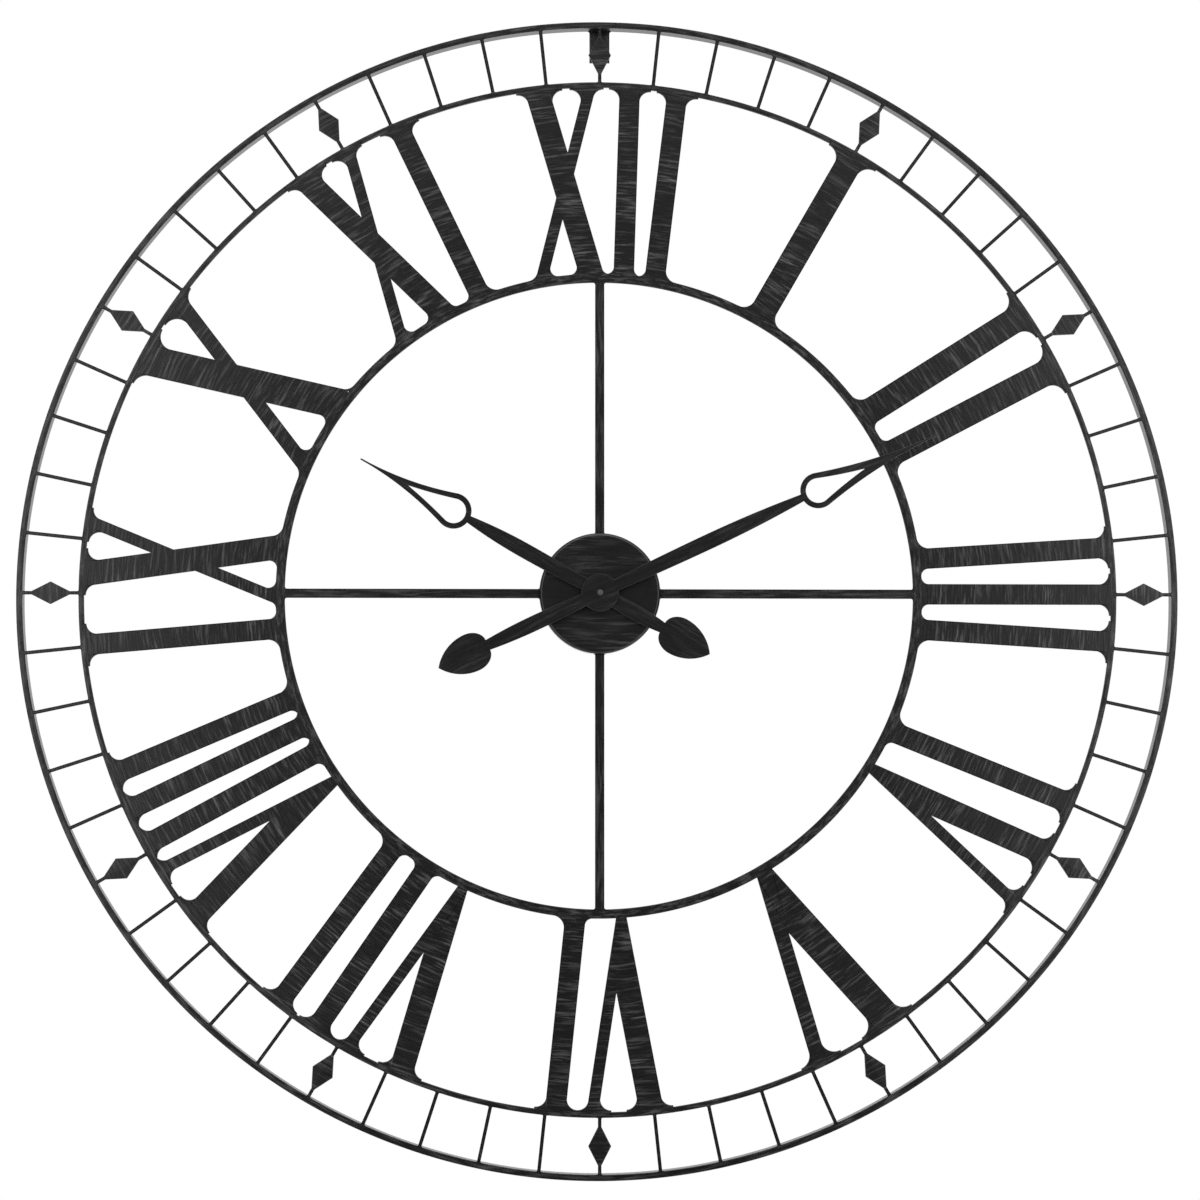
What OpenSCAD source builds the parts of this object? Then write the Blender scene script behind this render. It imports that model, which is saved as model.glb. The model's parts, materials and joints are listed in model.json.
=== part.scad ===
// Large skeleton wall clock: an open steel dial, welded from hoops, bars and cut plates,
// with a battery movement in a cup at its centre.
// X is to the right as the dial is read, Z is up, and the viewer is on the -Y side.
// The wall is the plane Y = 0, and each depth below is a distance out from the wall.
// Clock angles are in degrees, clockwise from twelve.

/* [Rim and rings] */
// Outer radius of the rim hoop
rim_r = 600; // [480:5:740]
// Radial thickness of the rim hoop
rim_w = 6.5; // [3:0.5:12]
// Depth of the rim hoop, from the wall to its front edge
rim_d = 15; // [12:0.5:19]
// Radial gap between the rim hoop and the outer dial ring
track_h = 57.3; // [40:0.1:80]
// Radial width of the outer dial ring
outer_ring_w = 5.7; // [3:0.1:12]
// Height of the numerals, from ring to ring
numeral_h = 196.5; // [150:0.5:240]
// Radial width of the inner dial ring
inner_ring_w = 9.5; // [5:0.5:16]
// Thickness of the rings, numerals, spokes, ticks and diamonds
dial_t = 3; // [1.5:0.5:6]
// Width of a spoke
spoke_w = 9.5; // [6:0.5:16]
// Radius of the weld fillets at both ends of a spoke
spoke_fillet = 2.5; // [1:0.5:6]

/* [Minute track] */
// Width of a minute tick
tick_w = 3.6; // [2:0.1:6]
// Radius of the weld fillets at both ends of a tick
tick_fillet = 1.5; // [0.5:0.1:3]
// Width of an hour diamond
diamond_w = 23.5; // [12:0.5:32]
// Clear height between a diamond's point and its ring
diamond_gap = 5.7; // [3:0.1:10]
// Width of the short bars that hold a diamond
diamond_link_w = 3.6; // [2:0.1:6]

/* [Numerals] */
// Width of a plain vertical stroke
stem_w = 21.3; // [14:0.1:28]
// Width of the thick stroke of a V or an X
thick_w = 25; // [16:0.5:30]
// Width of the thin stroke of a V or an X
thin_w = 12; // [6:0.5:16]
// Weight of the short numerals I, II, V and X against the long ones
short_weight = 1.27; // [1:0.01:1.35]
// Radius of the feet at the outer ring
foot_r = 11; // [6:0.5:16]
// Radius of the feet at the inner ring, between two strokes
heel_r = 8; // [4:0.5:12]
// Radius of the feet at the inner ring, on the outer sides of a numeral
heel_out_r = 13; // [4:0.5:16]
// Height of the blunt tips of the outer feet
serif_t = 1.8; // [0.8:0.1:3]

/* [Hub] */
// Radius of the hub cup
hub_r = 62.5; // [52:0.5:90]
// Distance from the wall to the face of the hub cup
hub_front = 22; // [22:0.5:28]
// Distance from the wall to the open edge of the hub cup
hub_back = 2; // [1:0.5:6]
// Sheet thickness of the hub cup
hub_t = 2; // [1:0.1:2.2]
// Bend radius between the face and the skirt of the hub cup
hub_bend = 3; // [2:0.5:5]

/* [Hanger] */
// Width of the hanger plate
hanger_w = 21; // [18:0.5:40]
// Length of the hanger plate below the rim
hanger_h = 34; // [32:0.5:60]
// Thickness of the hanger plate
hanger_t = 2; // [1:0.1:4]
// Radius of the keyhole's entry, which passes a screw head
keyhole_r = 5; // [3.5:0.1:7]
// Width of the keyhole's slot
keyhole_slot = 4.5; // [3:0.1:6]
// Length of the keyhole's slot above the centre of its entry
keyhole_run = 10; // [7:0.5:14]
// Metal between the hanger's lower edge and the keyhole's entry
keyhole_edge = 7.5; // [4:0.5:10]
// Radius of the weld fillets at the hanger's root
hanger_fillet = 3; // [1:0.5:6]

/* [Hands] */
// Length of the minute hand from the centre to its point
minute_len = 388; // [300:1:450]
// Distance from the centre to the middle of the minute hand's loop
minute_loop_y = 248.5; // [200:0.5:300]
// Distance from the centre to the point of the minute hand's tail
minute_tail = 183; // [140:1:220]
// Clock angle of the minute hand at rest
minute_angle = 64.8; // [0:0.1:360]
// Length of the hour hand from the centre to its point
hour_len = 282.5; // [230:0.5:310]
// Distance from the centre to the middle of the hour hand's loop
hour_loop_y = 172.7; // [140:0.5:200]
// Distance from the centre to the point of the hour hand's tail
hour_tail = 129.3; // [110:0.1:160]
// Clock angle of the hour hand at rest
hour_angle = 299.2; // [0:0.1:360]
// Outer radius of a hand's loop
loop_r = 18.5; // [12:0.5:26]
// Width of the bar round a loop
loop_bar = 5.8; // [4:0.1:8]
// Length of a loop's opening from the middle of the loop to its point
loop_open = 53.5; // [40:0.5:62]
// Half of a hand's width where it leaves the boss
hand_root = 5.6; // [4:0.1:7]
// Half of a hand's greatest width
hand_belly = 8; // [6:0.1:10]
// Half of a hand's width where it meets the loop
hand_neck = 3.8; // [2.5:0.1:5]
// Half of a tail's width where it meets its leaf
tail_neck = 5.4; // [3.5:0.1:7]
// Half of the width of a tail's leaf
leaf_half = 19.9; // [12:0.1:26]
// Distance from a leaf's widest place to its point
leaf_point = 37.5; // [28:0.5:46]
// Distance from a leaf's widest place back to its neck
leaf_shoulder = 18.5; // [12:0.5:24]
// Half of the blunt width at a hand's point
point_half = 0.8; // [0.3:0.1:1]
// Radius of the round boss of each hand
boss_r = 19.4; // [12:0.1:26]
// Sheet thickness of a hand
hand_t = 1.5; // [0.8:0.1:2]

/* [Movement] */
// Width of the movement case
case_w = 58; // [56:0.5:64]
// Wall thickness of the movement case and its cover
case_wall = 1.5; // [1.2:0.1:1.8]
// Thickness of the rubber washer between the case and the hub cup
rubber_t = 1; // [0.5:0.1:2]
// Radius of the threaded bush
bush_r = 4; // [3.6:0.1:5]
// Width of the bush nut across its flats
nut_af = 12; // [10.5:0.5:16]
// Thickness of the bush nut
nut_t = 2.5; // [1.5:0.1:2.6]
// Thickness of the brass washer under the nut
washer_t = 0.6; // [0.4:0.1:1]
// Radius of the minute arbor
arbor_r = 1.75; // [1.5:0.05:1.8]
// Wall of the hour pipe round the minute arbor
pipe_wall = 0.75; // [0.6:0.05:0.8]
// Radius of the time-setting knob
knob_r = 6; // [4:0.5:8]
// Radius of the battery
cell_r = 7.1; // [6.9:0.05:7.1]
// Length of the battery, with its button
cell_len = 50.5; // [49:0.5:50.5]

/* [Hidden] */
$fn = 96;
cut = 1; // how far a cut runs past what it cuts
run = 0.05; // radial clearance of a turning fit
gap = 0.4; // clearance between parts that move past each other
lap = 1; // how far a foot runs into the bar that it spreads from
bite = 0.1; // how much deeper than the edges a weld curve cuts, so that it meets them at an angle
opening_arc = 500; // radius of the long sides of a loop's opening

paint = "#2b2b2b";
brass = "#c9a24a";
steel = "#9aa0a5";
black_plastic = "#1d1e20";
white_plastic = "#e8e6df";

// Radii of the dial, from the rim inwards
track_out = rim_r - rim_w;
track_in = track_out - track_h;
numeral_out = track_in - outer_ring_w;
numeral_in = numeral_out - numeral_h;
spoke_out = numeral_in - inner_ring_w;
dial_front = rim_d;
dial_back = rim_d - dial_t;

// Depths of the movement and of what is stacked on its bush
case_front = hub_front - hub_t - rubber_t;
case_in = case_front - case_wall;
cover_back = 3;
case_back = cover_back + case_wall;
washer_back = hub_front;
nut_back = washer_back + washer_t;
bush_front = nut_back + nut_t + 1.4;
bush_shoulder = 0.6;
collet_t = 0.8;
hour_hand_back = bush_front + gap + collet_t;
pipe_front = hour_hand_back + hand_t + gap;
minute_hand_back = pipe_front + 2 * gap + 1 + collet_t;
arbor_front = minute_hand_back + hand_t + 1.5;

// Wheel train: module of each pair of teeth, and where each axle stands
cannon_m = 0.5;
cannon_teeth = 12;
minute_teeth = 36;
minute_pinion_teeth = 10;
hour_teeth = 40;
minute_dist = cannon_m * (cannon_teeth + minute_teeth) / 2;
hour_m = 2 * minute_dist / (minute_pinion_teeth + hour_teeth);
centre_m = 0.34;
centre_teeth = 60;
pinion_teeth = 8;
third_teeth = 64;
third_dist = centre_m * (centre_teeth + pinion_teeth) / 2;
third_m = 2 * third_dist / (third_teeth + pinion_teeth);
seconds_m = 0.3;
seconds_teeth = 40;
inter_dist = seconds_m * (seconds_teeth + pinion_teeth) / 2;
rotor_m = 0.25;
inter_teeth = 48;
rotor_dist = rotor_m * (inter_teeth + pinion_teeth) / 2;
minute_dir = 270;
third_dir = 70;
inter_dir = 330;
rotor_dir = 0;
minute_axle = clock(minute_dist, minute_dir);
third_axle = clock(third_dist, third_dir);
inter_axle = clock(inter_dist, inter_dir);
rotor_axle = inter_axle + clock(rotor_dist, rotor_dir);

// Depths of the wheels, counted back from the inside of the case's front wall
hour_wheel_front = case_in - 0.7;
hour_wheel_back = hour_wheel_front - 1;
cannon_front = hour_wheel_back - gap;
minute_wheel_front = cannon_front - 0.4;
minute_wheel_back = minute_wheel_front - 1;
cannon_back = minute_wheel_back - 0.4;
centre_front = cannon_back - 0.8;
centre_back = centre_front - 1;
plate_front = centre_back - 0.3;
plate_back = plate_front - 0.6;
third_front = plate_back - 0.5;
third_back = third_front - 0.8;
seconds_front = third_back - 1.2;
seconds_back = seconds_front - 0.8;
inter_front = seconds_back - 1.2;
inter_back = inter_front - 0.6;
pivot_r = 0.5;
pivot_run = 0.05;

// Plan of the movement case
cell_clear = 0.9;
chamber_top = 27.3;
chamber_bottom = -11.8;
well_top = chamber_bottom - case_wall;
well_bottom = well_top - 2 * (cell_r + cell_clear);
case_top = chamber_top + case_wall;
case_bottom = well_bottom - case_wall;
case_in_w = case_w - 2 * case_wall;
case_corner = 3;
cell_z = (well_top + well_bottom) / 2;
cell_depth = case_in - 0.2 - cell_r;
cover_post_r = 2;
cover_post_in = 1.5; // from the case's inner walls to the centre of a cover post
cover_post_x = case_in_w / 2 - cover_post_in;
cover_posts = [for (x = [-cover_post_x, cover_post_x],
    z = [chamber_bottom + cover_post_in, chamber_top - cover_post_in]) [x, z]];
plate_half_w = cover_post_x - cover_post_r - 0.3;
plate_top = 17;
plate_bottom = chamber_bottom + 0.3;
plate_post_r = 1.7;
plate_posts = [[-20, -9.5], [20, -9.5], [-21, 14.5], [21, 14.5]];
screw_r = 0.9;
screw_head_r = 1.7;

// Stepping motor
magnet_r = 3;
stator_t = 1;
stator_back = seconds_back + 0.3;
stator_front = stator_back + stator_t;
coil_z = 21.5;
coil_half = 10;
coil_flange_r = 3.6;
core_half = coil_half + 4;
core_t = 1;
core_w = 2;

// A point at radius r and clock angle a
function clock(r, a) = [r * sin(a), r * cos(a)];

// Phase that lets a gear of n teeth mesh with a tooth that points along clock angle dir
function meshed(dir, n) = dir + 180 + 180 / n;

// Stands a flat shape up as a slab between two distances from the wall
module slab(back, front) {
    translate([0, -back, 0])
        rotate([90, 0, 0])
            linear_extrude(front - back)
                children();
}

module ring(r_out, r_in) {
    difference() {
        circle(r_out, $fn = 360);
        circle(r_in, $fn = 360);
    }
}

module rounded(x0, y0, x1, y1, r) {
    translate([x0 + r, y0])
        square([x1 - x0 - 2 * r, y1 - y0]);
    translate([x0, y0 + r])
        square([x1 - x0, y1 - y0 - 2 * r]);
    for (x = [x0 + r, x1 - r], y = [y0 + r, y1 - r])
        translate([x, y])
            circle(r);
}

// --- Welded feet ---

// Distance along d from p to the circle of radius r about the origin; side is 1 when the
// circle is met from inside and -1 when it is met from outside
function reach(p, d, r, side) = -(p * d) + side * sqrt(pow(p * d, 2) - p * p + r * r);

// The weld that spreads from one edge of a bar onto a ring. The edge runs through p along the
// unit vector d towards the ring, n points away from the bar, and the ring's edge is at ring_r.
// The curve cuts bite deeper than either edge, so that it meets both at a slight angle.
module foot(p, d, n, ring_r, r, side) {
    over = 6;
    off = r - bite;
    c = p + n * off + d * reach(p + n * off, d, ring_r - side * off, side);
    corner = p + d * (reach(p, d, ring_r, side) + over);
    touch = c * ring_r / norm(c);
    difference() {
        polygon([c - n * (off + lap), corner - n * lap, touch * (ring_r + side * over) / ring_r, touch, c]);
        translate(c)
            circle(r, $fn = 48);
    }
}

// A straight bar from clock angle a_in on the inner circle to a_out on the outer circle, with a
// foot on both sides of both ends. The heels are the radii of the inner feet on the left and the
// right side, and tip is the blunt height of the outer feet.
module footed_bar(w, r_in, a_in, r_out, a_out, heels, toe, tip = 0) {
    p0 = clock(r_in, a_in);
    p1 = clock(r_out, a_out);
    d = (p1 - p0) / norm(p1 - p0);
    n = [d[1], -d[0]];
    over = 6;
    polygon([p0 - d * over + n * w / 2, p1 + d * over + n * w / 2,
        p1 + d * over - n * w / 2, p0 - d * over - n * w / 2]);
    for (s = [-1, 1]) {
        edge = (p0 + p1) / 2 + n * s * w / 2;
        foot(edge, d, n * s, r_out - tip, toe, 1);
        foot(edge, -d, n * s, r_in, s < 0 ? heels[0] : heels[1], -1);
    }
}

// --- Dial ---

module rim_hoop() color(paint)
    slab(0, rim_d)
        ring(rim_r, track_out);

module outer_dial_ring() color(paint)
    slab(dial_back, dial_front)
        ring(track_in, numeral_out);

module inner_dial_ring() color(paint)
    slab(dial_back, dial_front)
        ring(numeral_in, spoke_out);

module spoke(angle) color(paint)
    slab(dial_back, dial_front)
        intersection() {
            ring(spoke_out, hub_r);
            footed_bar(spoke_w, hub_r, angle, spoke_out, angle, [spoke_fillet, spoke_fillet], spoke_fillet);
        }

module hub_cup() color(paint)
    difference() {
        union() {
            slab(hub_back, hub_front - hub_bend)
                circle(hub_r);
            slab(hub_front - hub_bend, hub_front)
                circle(hub_r - hub_bend);
            translate([0, hub_bend - hub_front, 0])
                rotate([90, 0, 0])
                    rotate_extrude()
                        intersection() {
                            translate([hub_r - hub_bend, 0])
                                circle(hub_bend, $fn = 48);
                            square([hub_r, hub_bend]);
                        }
        }
        slab(hub_back - cut, hub_front - hub_t)
            circle(hub_r - hub_t);
        slab(hub_back, hub_front + cut)
            circle(bush_r + run);
    }

module tick_mark(angle)
    intersection() {
        ring(track_out, track_in);
        footed_bar(tick_w, track_in, angle, track_out, angle, [tick_fillet, tick_fillet], tick_fillet);
    }

module minute_ticks() color(paint)
    slab(dial_back, dial_front)
        for (i = [0 : 59])
            if (i % 5 != 0)
                tick_mark(6 * i);

module diamond(angle) {
    r0 = track_in + diamond_gap;
    r1 = track_out - diamond_gap;
    intersection() {
        ring(track_out, track_in);
        union() {
            rotate(-angle)
                polygon([[0, r0], [diamond_w / 2, (r0 + r1) / 2], [0, r1], [-diamond_w / 2, (r0 + r1) / 2]]);
            footed_bar(diamond_link_w, track_in, angle, track_out, angle, [tick_fillet, tick_fillet],
                tick_fillet);
        }
    }
}

module hour_diamonds() color(paint)
    slab(dial_back, dial_front)
        for (hour = [0 : 11])
            diamond(30 * hour);

// --- Numerals ---

// Each stroke is [kind, angle on the outer ring, angle on the inner ring], from the hour's own
// line, and a V is its two legs
function glyph(hour) =
    hour == 1 ? [["stem", 0, 0]] :
    hour == 2 ? [["stem", -3.5, -4.2], ["stem", 3.5, 4.2]] :
    hour == 3 ? [["stem", -5.3, -6.3], ["stem", 0, 0], ["stem", 5.3, 6.3]] :
    hour == 4 ? [["stem", -6, -4.8], ["vee", 0.2, 3.9, 6.6, 2.6]] :
    hour == 5 ? [["vee", -4.1, 0.7, 4.9, -0.3]] :
    hour == 6 ? [["vee", -5.7, -2.6, 0.8, -3.9], ["stem", 4.9, 4.3]] :
    hour == 7 ? [["vee", -7.5, -3.9, -1, -5.2], ["stem", 3, 2.2], ["stem", 8, 9]] :
    hour == 8 ? [["vee", -8.7, -4.1, -2.3, -5.4], ["stem", 0.9, 0.6], ["stem", 5.2, 5.8], ["stem", 9.5, 11]] :
    hour == 9 ? [["stem", -5.8, -6.3], ["thick", 2.1, 8.2], ["thin", 8, -0.8]] :
    hour == 10 ? [["thick", -2.8, 6.1], ["thin", 4.8, -6.4]] :
    hour == 11 ? [["thick", -5.4, 0.9], ["thin", 0.5, -7.9], ["stem", 6.7, 8.2]] :
    [["thick", -7.1, -1.5], ["thin", -1.1, -10.4], ["stem", 3.4, 4.3], ["stem", 8.8, 9.9]];

// Where the line through p along d crosses the line through q along e
function crossing(p, d, q, e) =
    let (w = q - p)
    p + d * (w[0] * e[1] - w[1] * e[0]) / (d[0] * e[1] - d[1] * e[0]);

module stroke(w, a_out, a_in, heels, toe)
    footed_bar(w, numeral_in, a_in, numeral_out, a_out, heels, toe, serif_t);

// A thick leg from a_out to a_in and a thin leg from b_out to b_in, each cut off by the other's
// outer edge
module vee(thick, a_out, a_in, thin, b_out, b_in, toe) {
    over = 6;
    a0 = clock(numeral_in, a_in);
    a1 = clock(numeral_out, a_out);
    b0 = clock(numeral_in, b_in);
    b1 = clock(numeral_out, b_out);
    d = (a1 - a0) / norm(a1 - a0);
    e = (b1 - b0) / norm(b1 - b0);
    n = [d[1], -d[0]] * thick / 2;
    m = [e[1], -e[0]] * thin / 2;
    polygon([a0 - n - d * over, a1 - n + d * over, a1 + n + d * over, crossing(a0 + n, d, b0 - m, e),
        b1 - m + e * over, b1 + m + e * over, b0 + m - e * over]);
    for (s = [-1, 1]) {
        foot(a1 + n * s - d * 2 * toe, d, s * n / norm(n), numeral_out - serif_t, toe, 1);
        foot(b1 + m * s - e * 2 * toe, e, s * m / norm(m), numeral_out - serif_t, toe, 1);
    }
}

module numeral(hour) {
    weight = (hour == 1 || hour == 2 || hour == 5 || hour == 10) ? short_weight : 1;
    inner = [for (s = glyph(hour)) s[2]];
    color(paint)
        slab(dial_back, dial_front)
            rotate(-30 * hour)
                intersection() {
                    ring(numeral_out, numeral_in);
                    for (s = glyph(hour)) {
                        if (s[0] == "vee")
                            vee(thick_w * weight, s[1], s[2], thin_w * weight, s[3], s[4],
                                foot_r * weight);
                        else {
                            w = s[0] == "stem" ? stem_w : s[0] == "thick" ? thick_w : thin_w;
                            heels = [s[2] == min(inner) ? heel_out_r : heel_r,
                                s[2] == max(inner) ? heel_out_r : heel_r];
                            stroke(w * weight, s[1], s[2], heels, foot_r * weight);
                        }
                    }
                }
}

// --- Hanger ---

keyhole_z = track_out - hanger_h + keyhole_edge + keyhole_r;

module hanger_plate() color(paint)
    slab(0, hanger_t)
        difference() {
            intersection() {
                circle(track_out, $fn = 360);
                union() {
                    translate([-hanger_w / 2, track_out - hanger_h])
                        square([hanger_w, hanger_h]);
                    for (s = [-1, 1])
                        foot([s * hanger_w / 2, track_out - hanger_h / 2], [0, 1], [s, 0],
                            track_out, hanger_fillet, 1);
                }
            }
            translate([0, keyhole_z])
                circle(keyhole_r);
            translate([-keyhole_slot / 2, keyhole_z])
                square([keyhole_slot, keyhole_run]);
            translate([0, keyhole_z + keyhole_run])
                circle(keyhole_slot / 2);
        }

// --- Hands ---

// Half width of a bar that swells from its root to its belly and thins to its neck
function swell(y, y0, root, ym, belly, y1, neck) =
    y < ym ? belly - (belly - root) * pow((ym - y) / (ym - y0), 2)
    : belly - (belly - neck) * pow((y - ym) / (y1 - ym), 2);

module swelling_bar(y0, root, ym, belly, y1, neck) {
    steps = 12;
    ys = [for (i = [0 : steps]) y0 + (y1 - y0) * i / steps];
    xs = [for (y = ys) swell(y, y0, root, ym, belly, y1, neck)];
    polygon(concat(
        [for (i = [0 : steps]) [xs[i], ys[i]]],
        [for (i = [steps : -1 : 0]) [-xs[i], ys[i]]]));
}

// A drop with a round head of radius r about the origin, and sides that hollow in, on arcs about
// c and its mirror image, to half width w at height y
module drop(r, y, w, c) {
    steps = 16;
    rc = norm(c) - r;
    a0 = atan2(-c[1], -c[0]);
    a1 = atan2(y - c[1], w - c[0]);
    turn = (a1 - a0 + 540) % 360 - 180;
    side = [for (i = [1 : steps]) c + rc * [cos(a0 + turn * i / steps), sin(a0 + turn * i / steps)]];
    start = atan2(c[1], c[0]);
    head = [for (i = [0 : steps]) r * [cos(-90 + (start + 90) * i / steps), sin(-90 + (start + 90) * i / steps)]];
    right = concat(head, side);
    last = w > 0 ? len(right) - 1 : len(right) - 2;
    polygon(concat(right, [for (i = [last : -1 : 1]) [-right[i][0], right[i][1]]]));
}

// Centre of the arc that touches the head and runs out parallel to the axis at the point
function outer_arc(r, y) =
    let (rc = (y * y + point_half * point_half - r * r) / (2 * (r - point_half)))
    [point_half + rc, y];

// Centre of the arc of radius rc that touches the head and meets the axis at height y
function inner_arc(r, y, rc) =
    let (cy = (y * y + 2 * rc * r + r * r) / (2 * y))
    [sqrt(pow(rc + r, 2) - cy * cy), cy];

module loop_tip(len) {
    opening = loop_r - loop_bar;
    difference() {
        drop(loop_r, len, point_half, outer_arc(loop_r, len));
        drop(opening, loop_open, 0, inner_arc(opening, loop_open, opening_arc));
    }
}

// Leaf with its point down at the origin of its own frame
module leaf() {
    lower_r = (leaf_half * leaf_half + leaf_point * leaf_point) / (2 * leaf_half);
    steps = 10;
    lobe_x = leaf_half - tail_neck;
    sweep = asin(leaf_point / lower_r);
    lower = [for (i = [0 : steps - 1])
        [leaf_half - lower_r + lower_r * cos(sweep * (steps - i) / steps),
            leaf_point - lower_r * sin(sweep * (steps - i) / steps)]];
    upper = [for (i = [0 : steps])
        [tail_neck + lobe_x * cos(90 * i / steps), leaf_point + leaf_shoulder * sin(90 * i / steps)]];
    right = concat(lower, upper);
    polygon(concat(right, [for (i = [len(right) - 1 : -1 : 1]) [-right[i][0], right[i][1]]]));
}

module hand_outline(len, loop_y, tail, belly_y, tail_belly_y) {
    circle(boss_r);
    swelling_bar(0, hand_root, belly_y, hand_belly, loop_y - loop_r + 1, hand_neck);
    translate([0, loop_y])
        loop_tip(len - loop_y);
    rotate(180)
        swelling_bar(0, hand_root, tail_belly_y, hand_belly, tail - leaf_point - leaf_shoulder + 2,
            tail_neck);
    translate([0, -tail])
        leaf();
}

module hour_hand() color(paint)
    slab(hour_hand_back, hour_hand_back + hand_t)
        difference() {
            rotate(-hour_angle)
                hand_outline(hour_len, hour_loop_y, hour_tail, 88, 40);
            circle(hour_neck_r);
        }

module minute_hand() color(paint)
    slab(minute_hand_back, minute_hand_back + hand_t)
        difference() {
            rotate(-minute_angle)
                hand_outline(minute_len, minute_loop_y, minute_tail, 125, 75);
            circle(minute_neck_r);
        }

pipe_r = arbor_r + run + pipe_wall;
hour_neck_r = pipe_r + 1.2;
minute_neck_r = arbor_r + 1.1;
collet_flange = 2.4;

module hour_collet() color(brass) {
    slab(hour_hand_back - collet_t, hour_hand_back)
        ring(hour_neck_r + collet_flange, pipe_r);
    slab(hour_hand_back, hour_hand_back + hand_t)
        ring(hour_neck_r, pipe_r);
}

module minute_collet() color(brass) {
    slab(minute_hand_back - collet_t, minute_hand_back)
        ring(minute_neck_r + collet_flange, arbor_r);
    slab(minute_hand_back, minute_hand_back + hand_t)
        ring(minute_neck_r, arbor_r);
}

// --- Wheels ---

// Flat gear with one tooth on clock angle phase. The teeth are thinner than half the pitch, so
// a meshed pair turns freely.
module gear(teeth, m, phase, bore = 0) {
    r = teeth * m / 2;
    tip = r + 0.75 * m;
    root = r - m;
    pitch = 360 / teeth;
    difference() {
        polygon([for (i = [0 : teeth - 1], k = [[root, -0.29], [tip, -0.11], [tip, 0.11], [root, 0.29]])
            clock(k[0], phase + (i + k[1]) * pitch)]);
        if (bore > 0)
            circle(bore);
    }
}

bore_end = case_front + 3;

module minute_arbor() color(brass)
    difference() {
        union() {
            slab(plate_back, arbor_front)
                circle(arbor_r);
            slab(cannon_back, cannon_front)
                gear(cannon_teeth, cannon_m, minute_dir);
        }
        slab(plate_back - cut, bore_end)
            circle(pivot_r + pivot_run, $fn = 48);
    }

module centre_wheel() color(brass)
    slab(centre_back, centre_front)
        gear(centre_teeth, centre_m, third_dir, arbor_r);

module hour_wheel() color(white_plastic)
    difference() {
        union() {
            slab(hour_wheel_back, hour_wheel_front)
                gear(hour_teeth, hour_m, meshed(minute_dir - 180, hour_teeth));
            slab(hour_wheel_front, pipe_front)
                circle(pipe_r);
        }
        slab(hour_wheel_back - cut, pipe_front + cut)
            circle(arbor_r + run);
    }

knob_back = 0.6;
knob_front = cover_back - gap;
stem_r = 1;
stem_end = knob_back + 0.8;
minute_pivot_r = 0.8;
minute_pivot = 0.7;

module minute_wheel() color(white_plastic)
    translate([minute_axle[0], 0, minute_axle[1]]) {
        slab(minute_wheel_back, minute_wheel_front)
            gear(minute_teeth, cannon_m, meshed(minute_dir, minute_teeth));
        slab(minute_wheel_front, case_in - 0.3)
            gear(minute_pinion_teeth, hour_m, minute_dir - 180);
        slab(case_in - 0.3, case_in + minute_pivot - 0.1)
            circle(minute_pivot_r, $fn = 48);
        slab(stem_end, minute_wheel_back)
            circle(stem_r, $fn = 48);
    }

module setting_knob() color(black_plastic)
    translate([minute_axle[0], 0, minute_axle[1]])
        difference() {
            slab(knob_back, knob_front)
                circle(knob_r);
            for (i = [0 : 17])
                slab(knob_back - cut, knob_front + cut)
                    translate(clock(knob_r + 0.35, 20 * i))
                        circle(0.7, $fn = 24);
            slab(stem_end, knob_front + cut)
                circle(stem_r, $fn = 48);
        }

third_boss_back = third_back - 1;
third_boss_front = centre_front + 1.1;
pivot_len = 1.2;

module third_wheel() color(brass)
    translate([third_axle[0], 0, third_axle[1]]) {
        slab(third_boss_back - pivot_len, third_back)
            circle(pivot_r, $fn = 48);
        slab(third_back, third_front)
            gear(third_teeth, third_m, third_dir + 180);
        slab(third_front, centre_back - 0.3)
            circle(0.9, $fn = 48);
        slab(centre_back - 0.3, centre_front + 0.4)
            gear(pinion_teeth, centre_m, meshed(third_dir, pinion_teeth));
        slab(centre_front + 0.4, third_boss_front + pivot_len)
            circle(pivot_r, $fn = 48);
    }

module seconds_wheel() color(brass) {
    slab(case_back + 0.4, seconds_back)
        circle(pivot_r, $fn = 48);
    slab(seconds_back, seconds_front)
        gear(seconds_teeth, seconds_m, inter_dir);
    slab(seconds_front, third_back - 0.2)
        circle(0.7, $fn = 48);
    slab(third_back - 0.2, third_front + 0.2)
        gear(pinion_teeth, third_m, meshed(third_dir + 180, pinion_teeth));
    slab(third_front + 0.2, bore_end - 2)
        circle(pivot_r, $fn = 48);
}

small_pivot_r = 0.4;
inter_boss_front = plate_back - 1.6;

module intermediate_wheel() color(white_plastic)
    translate([inter_axle[0], 0, inter_axle[1]]) {
        slab(case_back + 0.2, inter_back)
            circle(small_pivot_r, $fn = 48);
        slab(inter_back, inter_front)
            gear(inter_teeth, rotor_m, rotor_dir);
        slab(inter_front, seconds_back - 0.4)
            circle(0.7, $fn = 48);
        slab(seconds_back - 0.4, seconds_front + 0.4)
            gear(pinion_teeth, seconds_m, meshed(inter_dir, pinion_teeth));
        slab(seconds_front + 0.4, inter_boss_front + 1)
            circle(small_pivot_r, $fn = 48);
    }

rotor_boss_front = plate_back - 1;
magnet_back = stator_back - 0.5;
magnet_front = stator_front + 0.5;

module rotor_pinion() color(white_plastic)
    translate([rotor_axle[0], 0, rotor_axle[1]]) {
        slab(case_back + 0.2, inter_back - 0.4)
            circle(small_pivot_r, $fn = 48);
        slab(inter_back - 0.4, inter_front + 0.4)
            gear(pinion_teeth, rotor_m, meshed(rotor_dir, pinion_teeth));
        slab(inter_front + 0.4, magnet_front)
            circle(0.6, $fn = 48);
        slab(magnet_front, rotor_boss_front + 0.8)
            circle(small_pivot_r, $fn = 48);
    }

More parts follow.
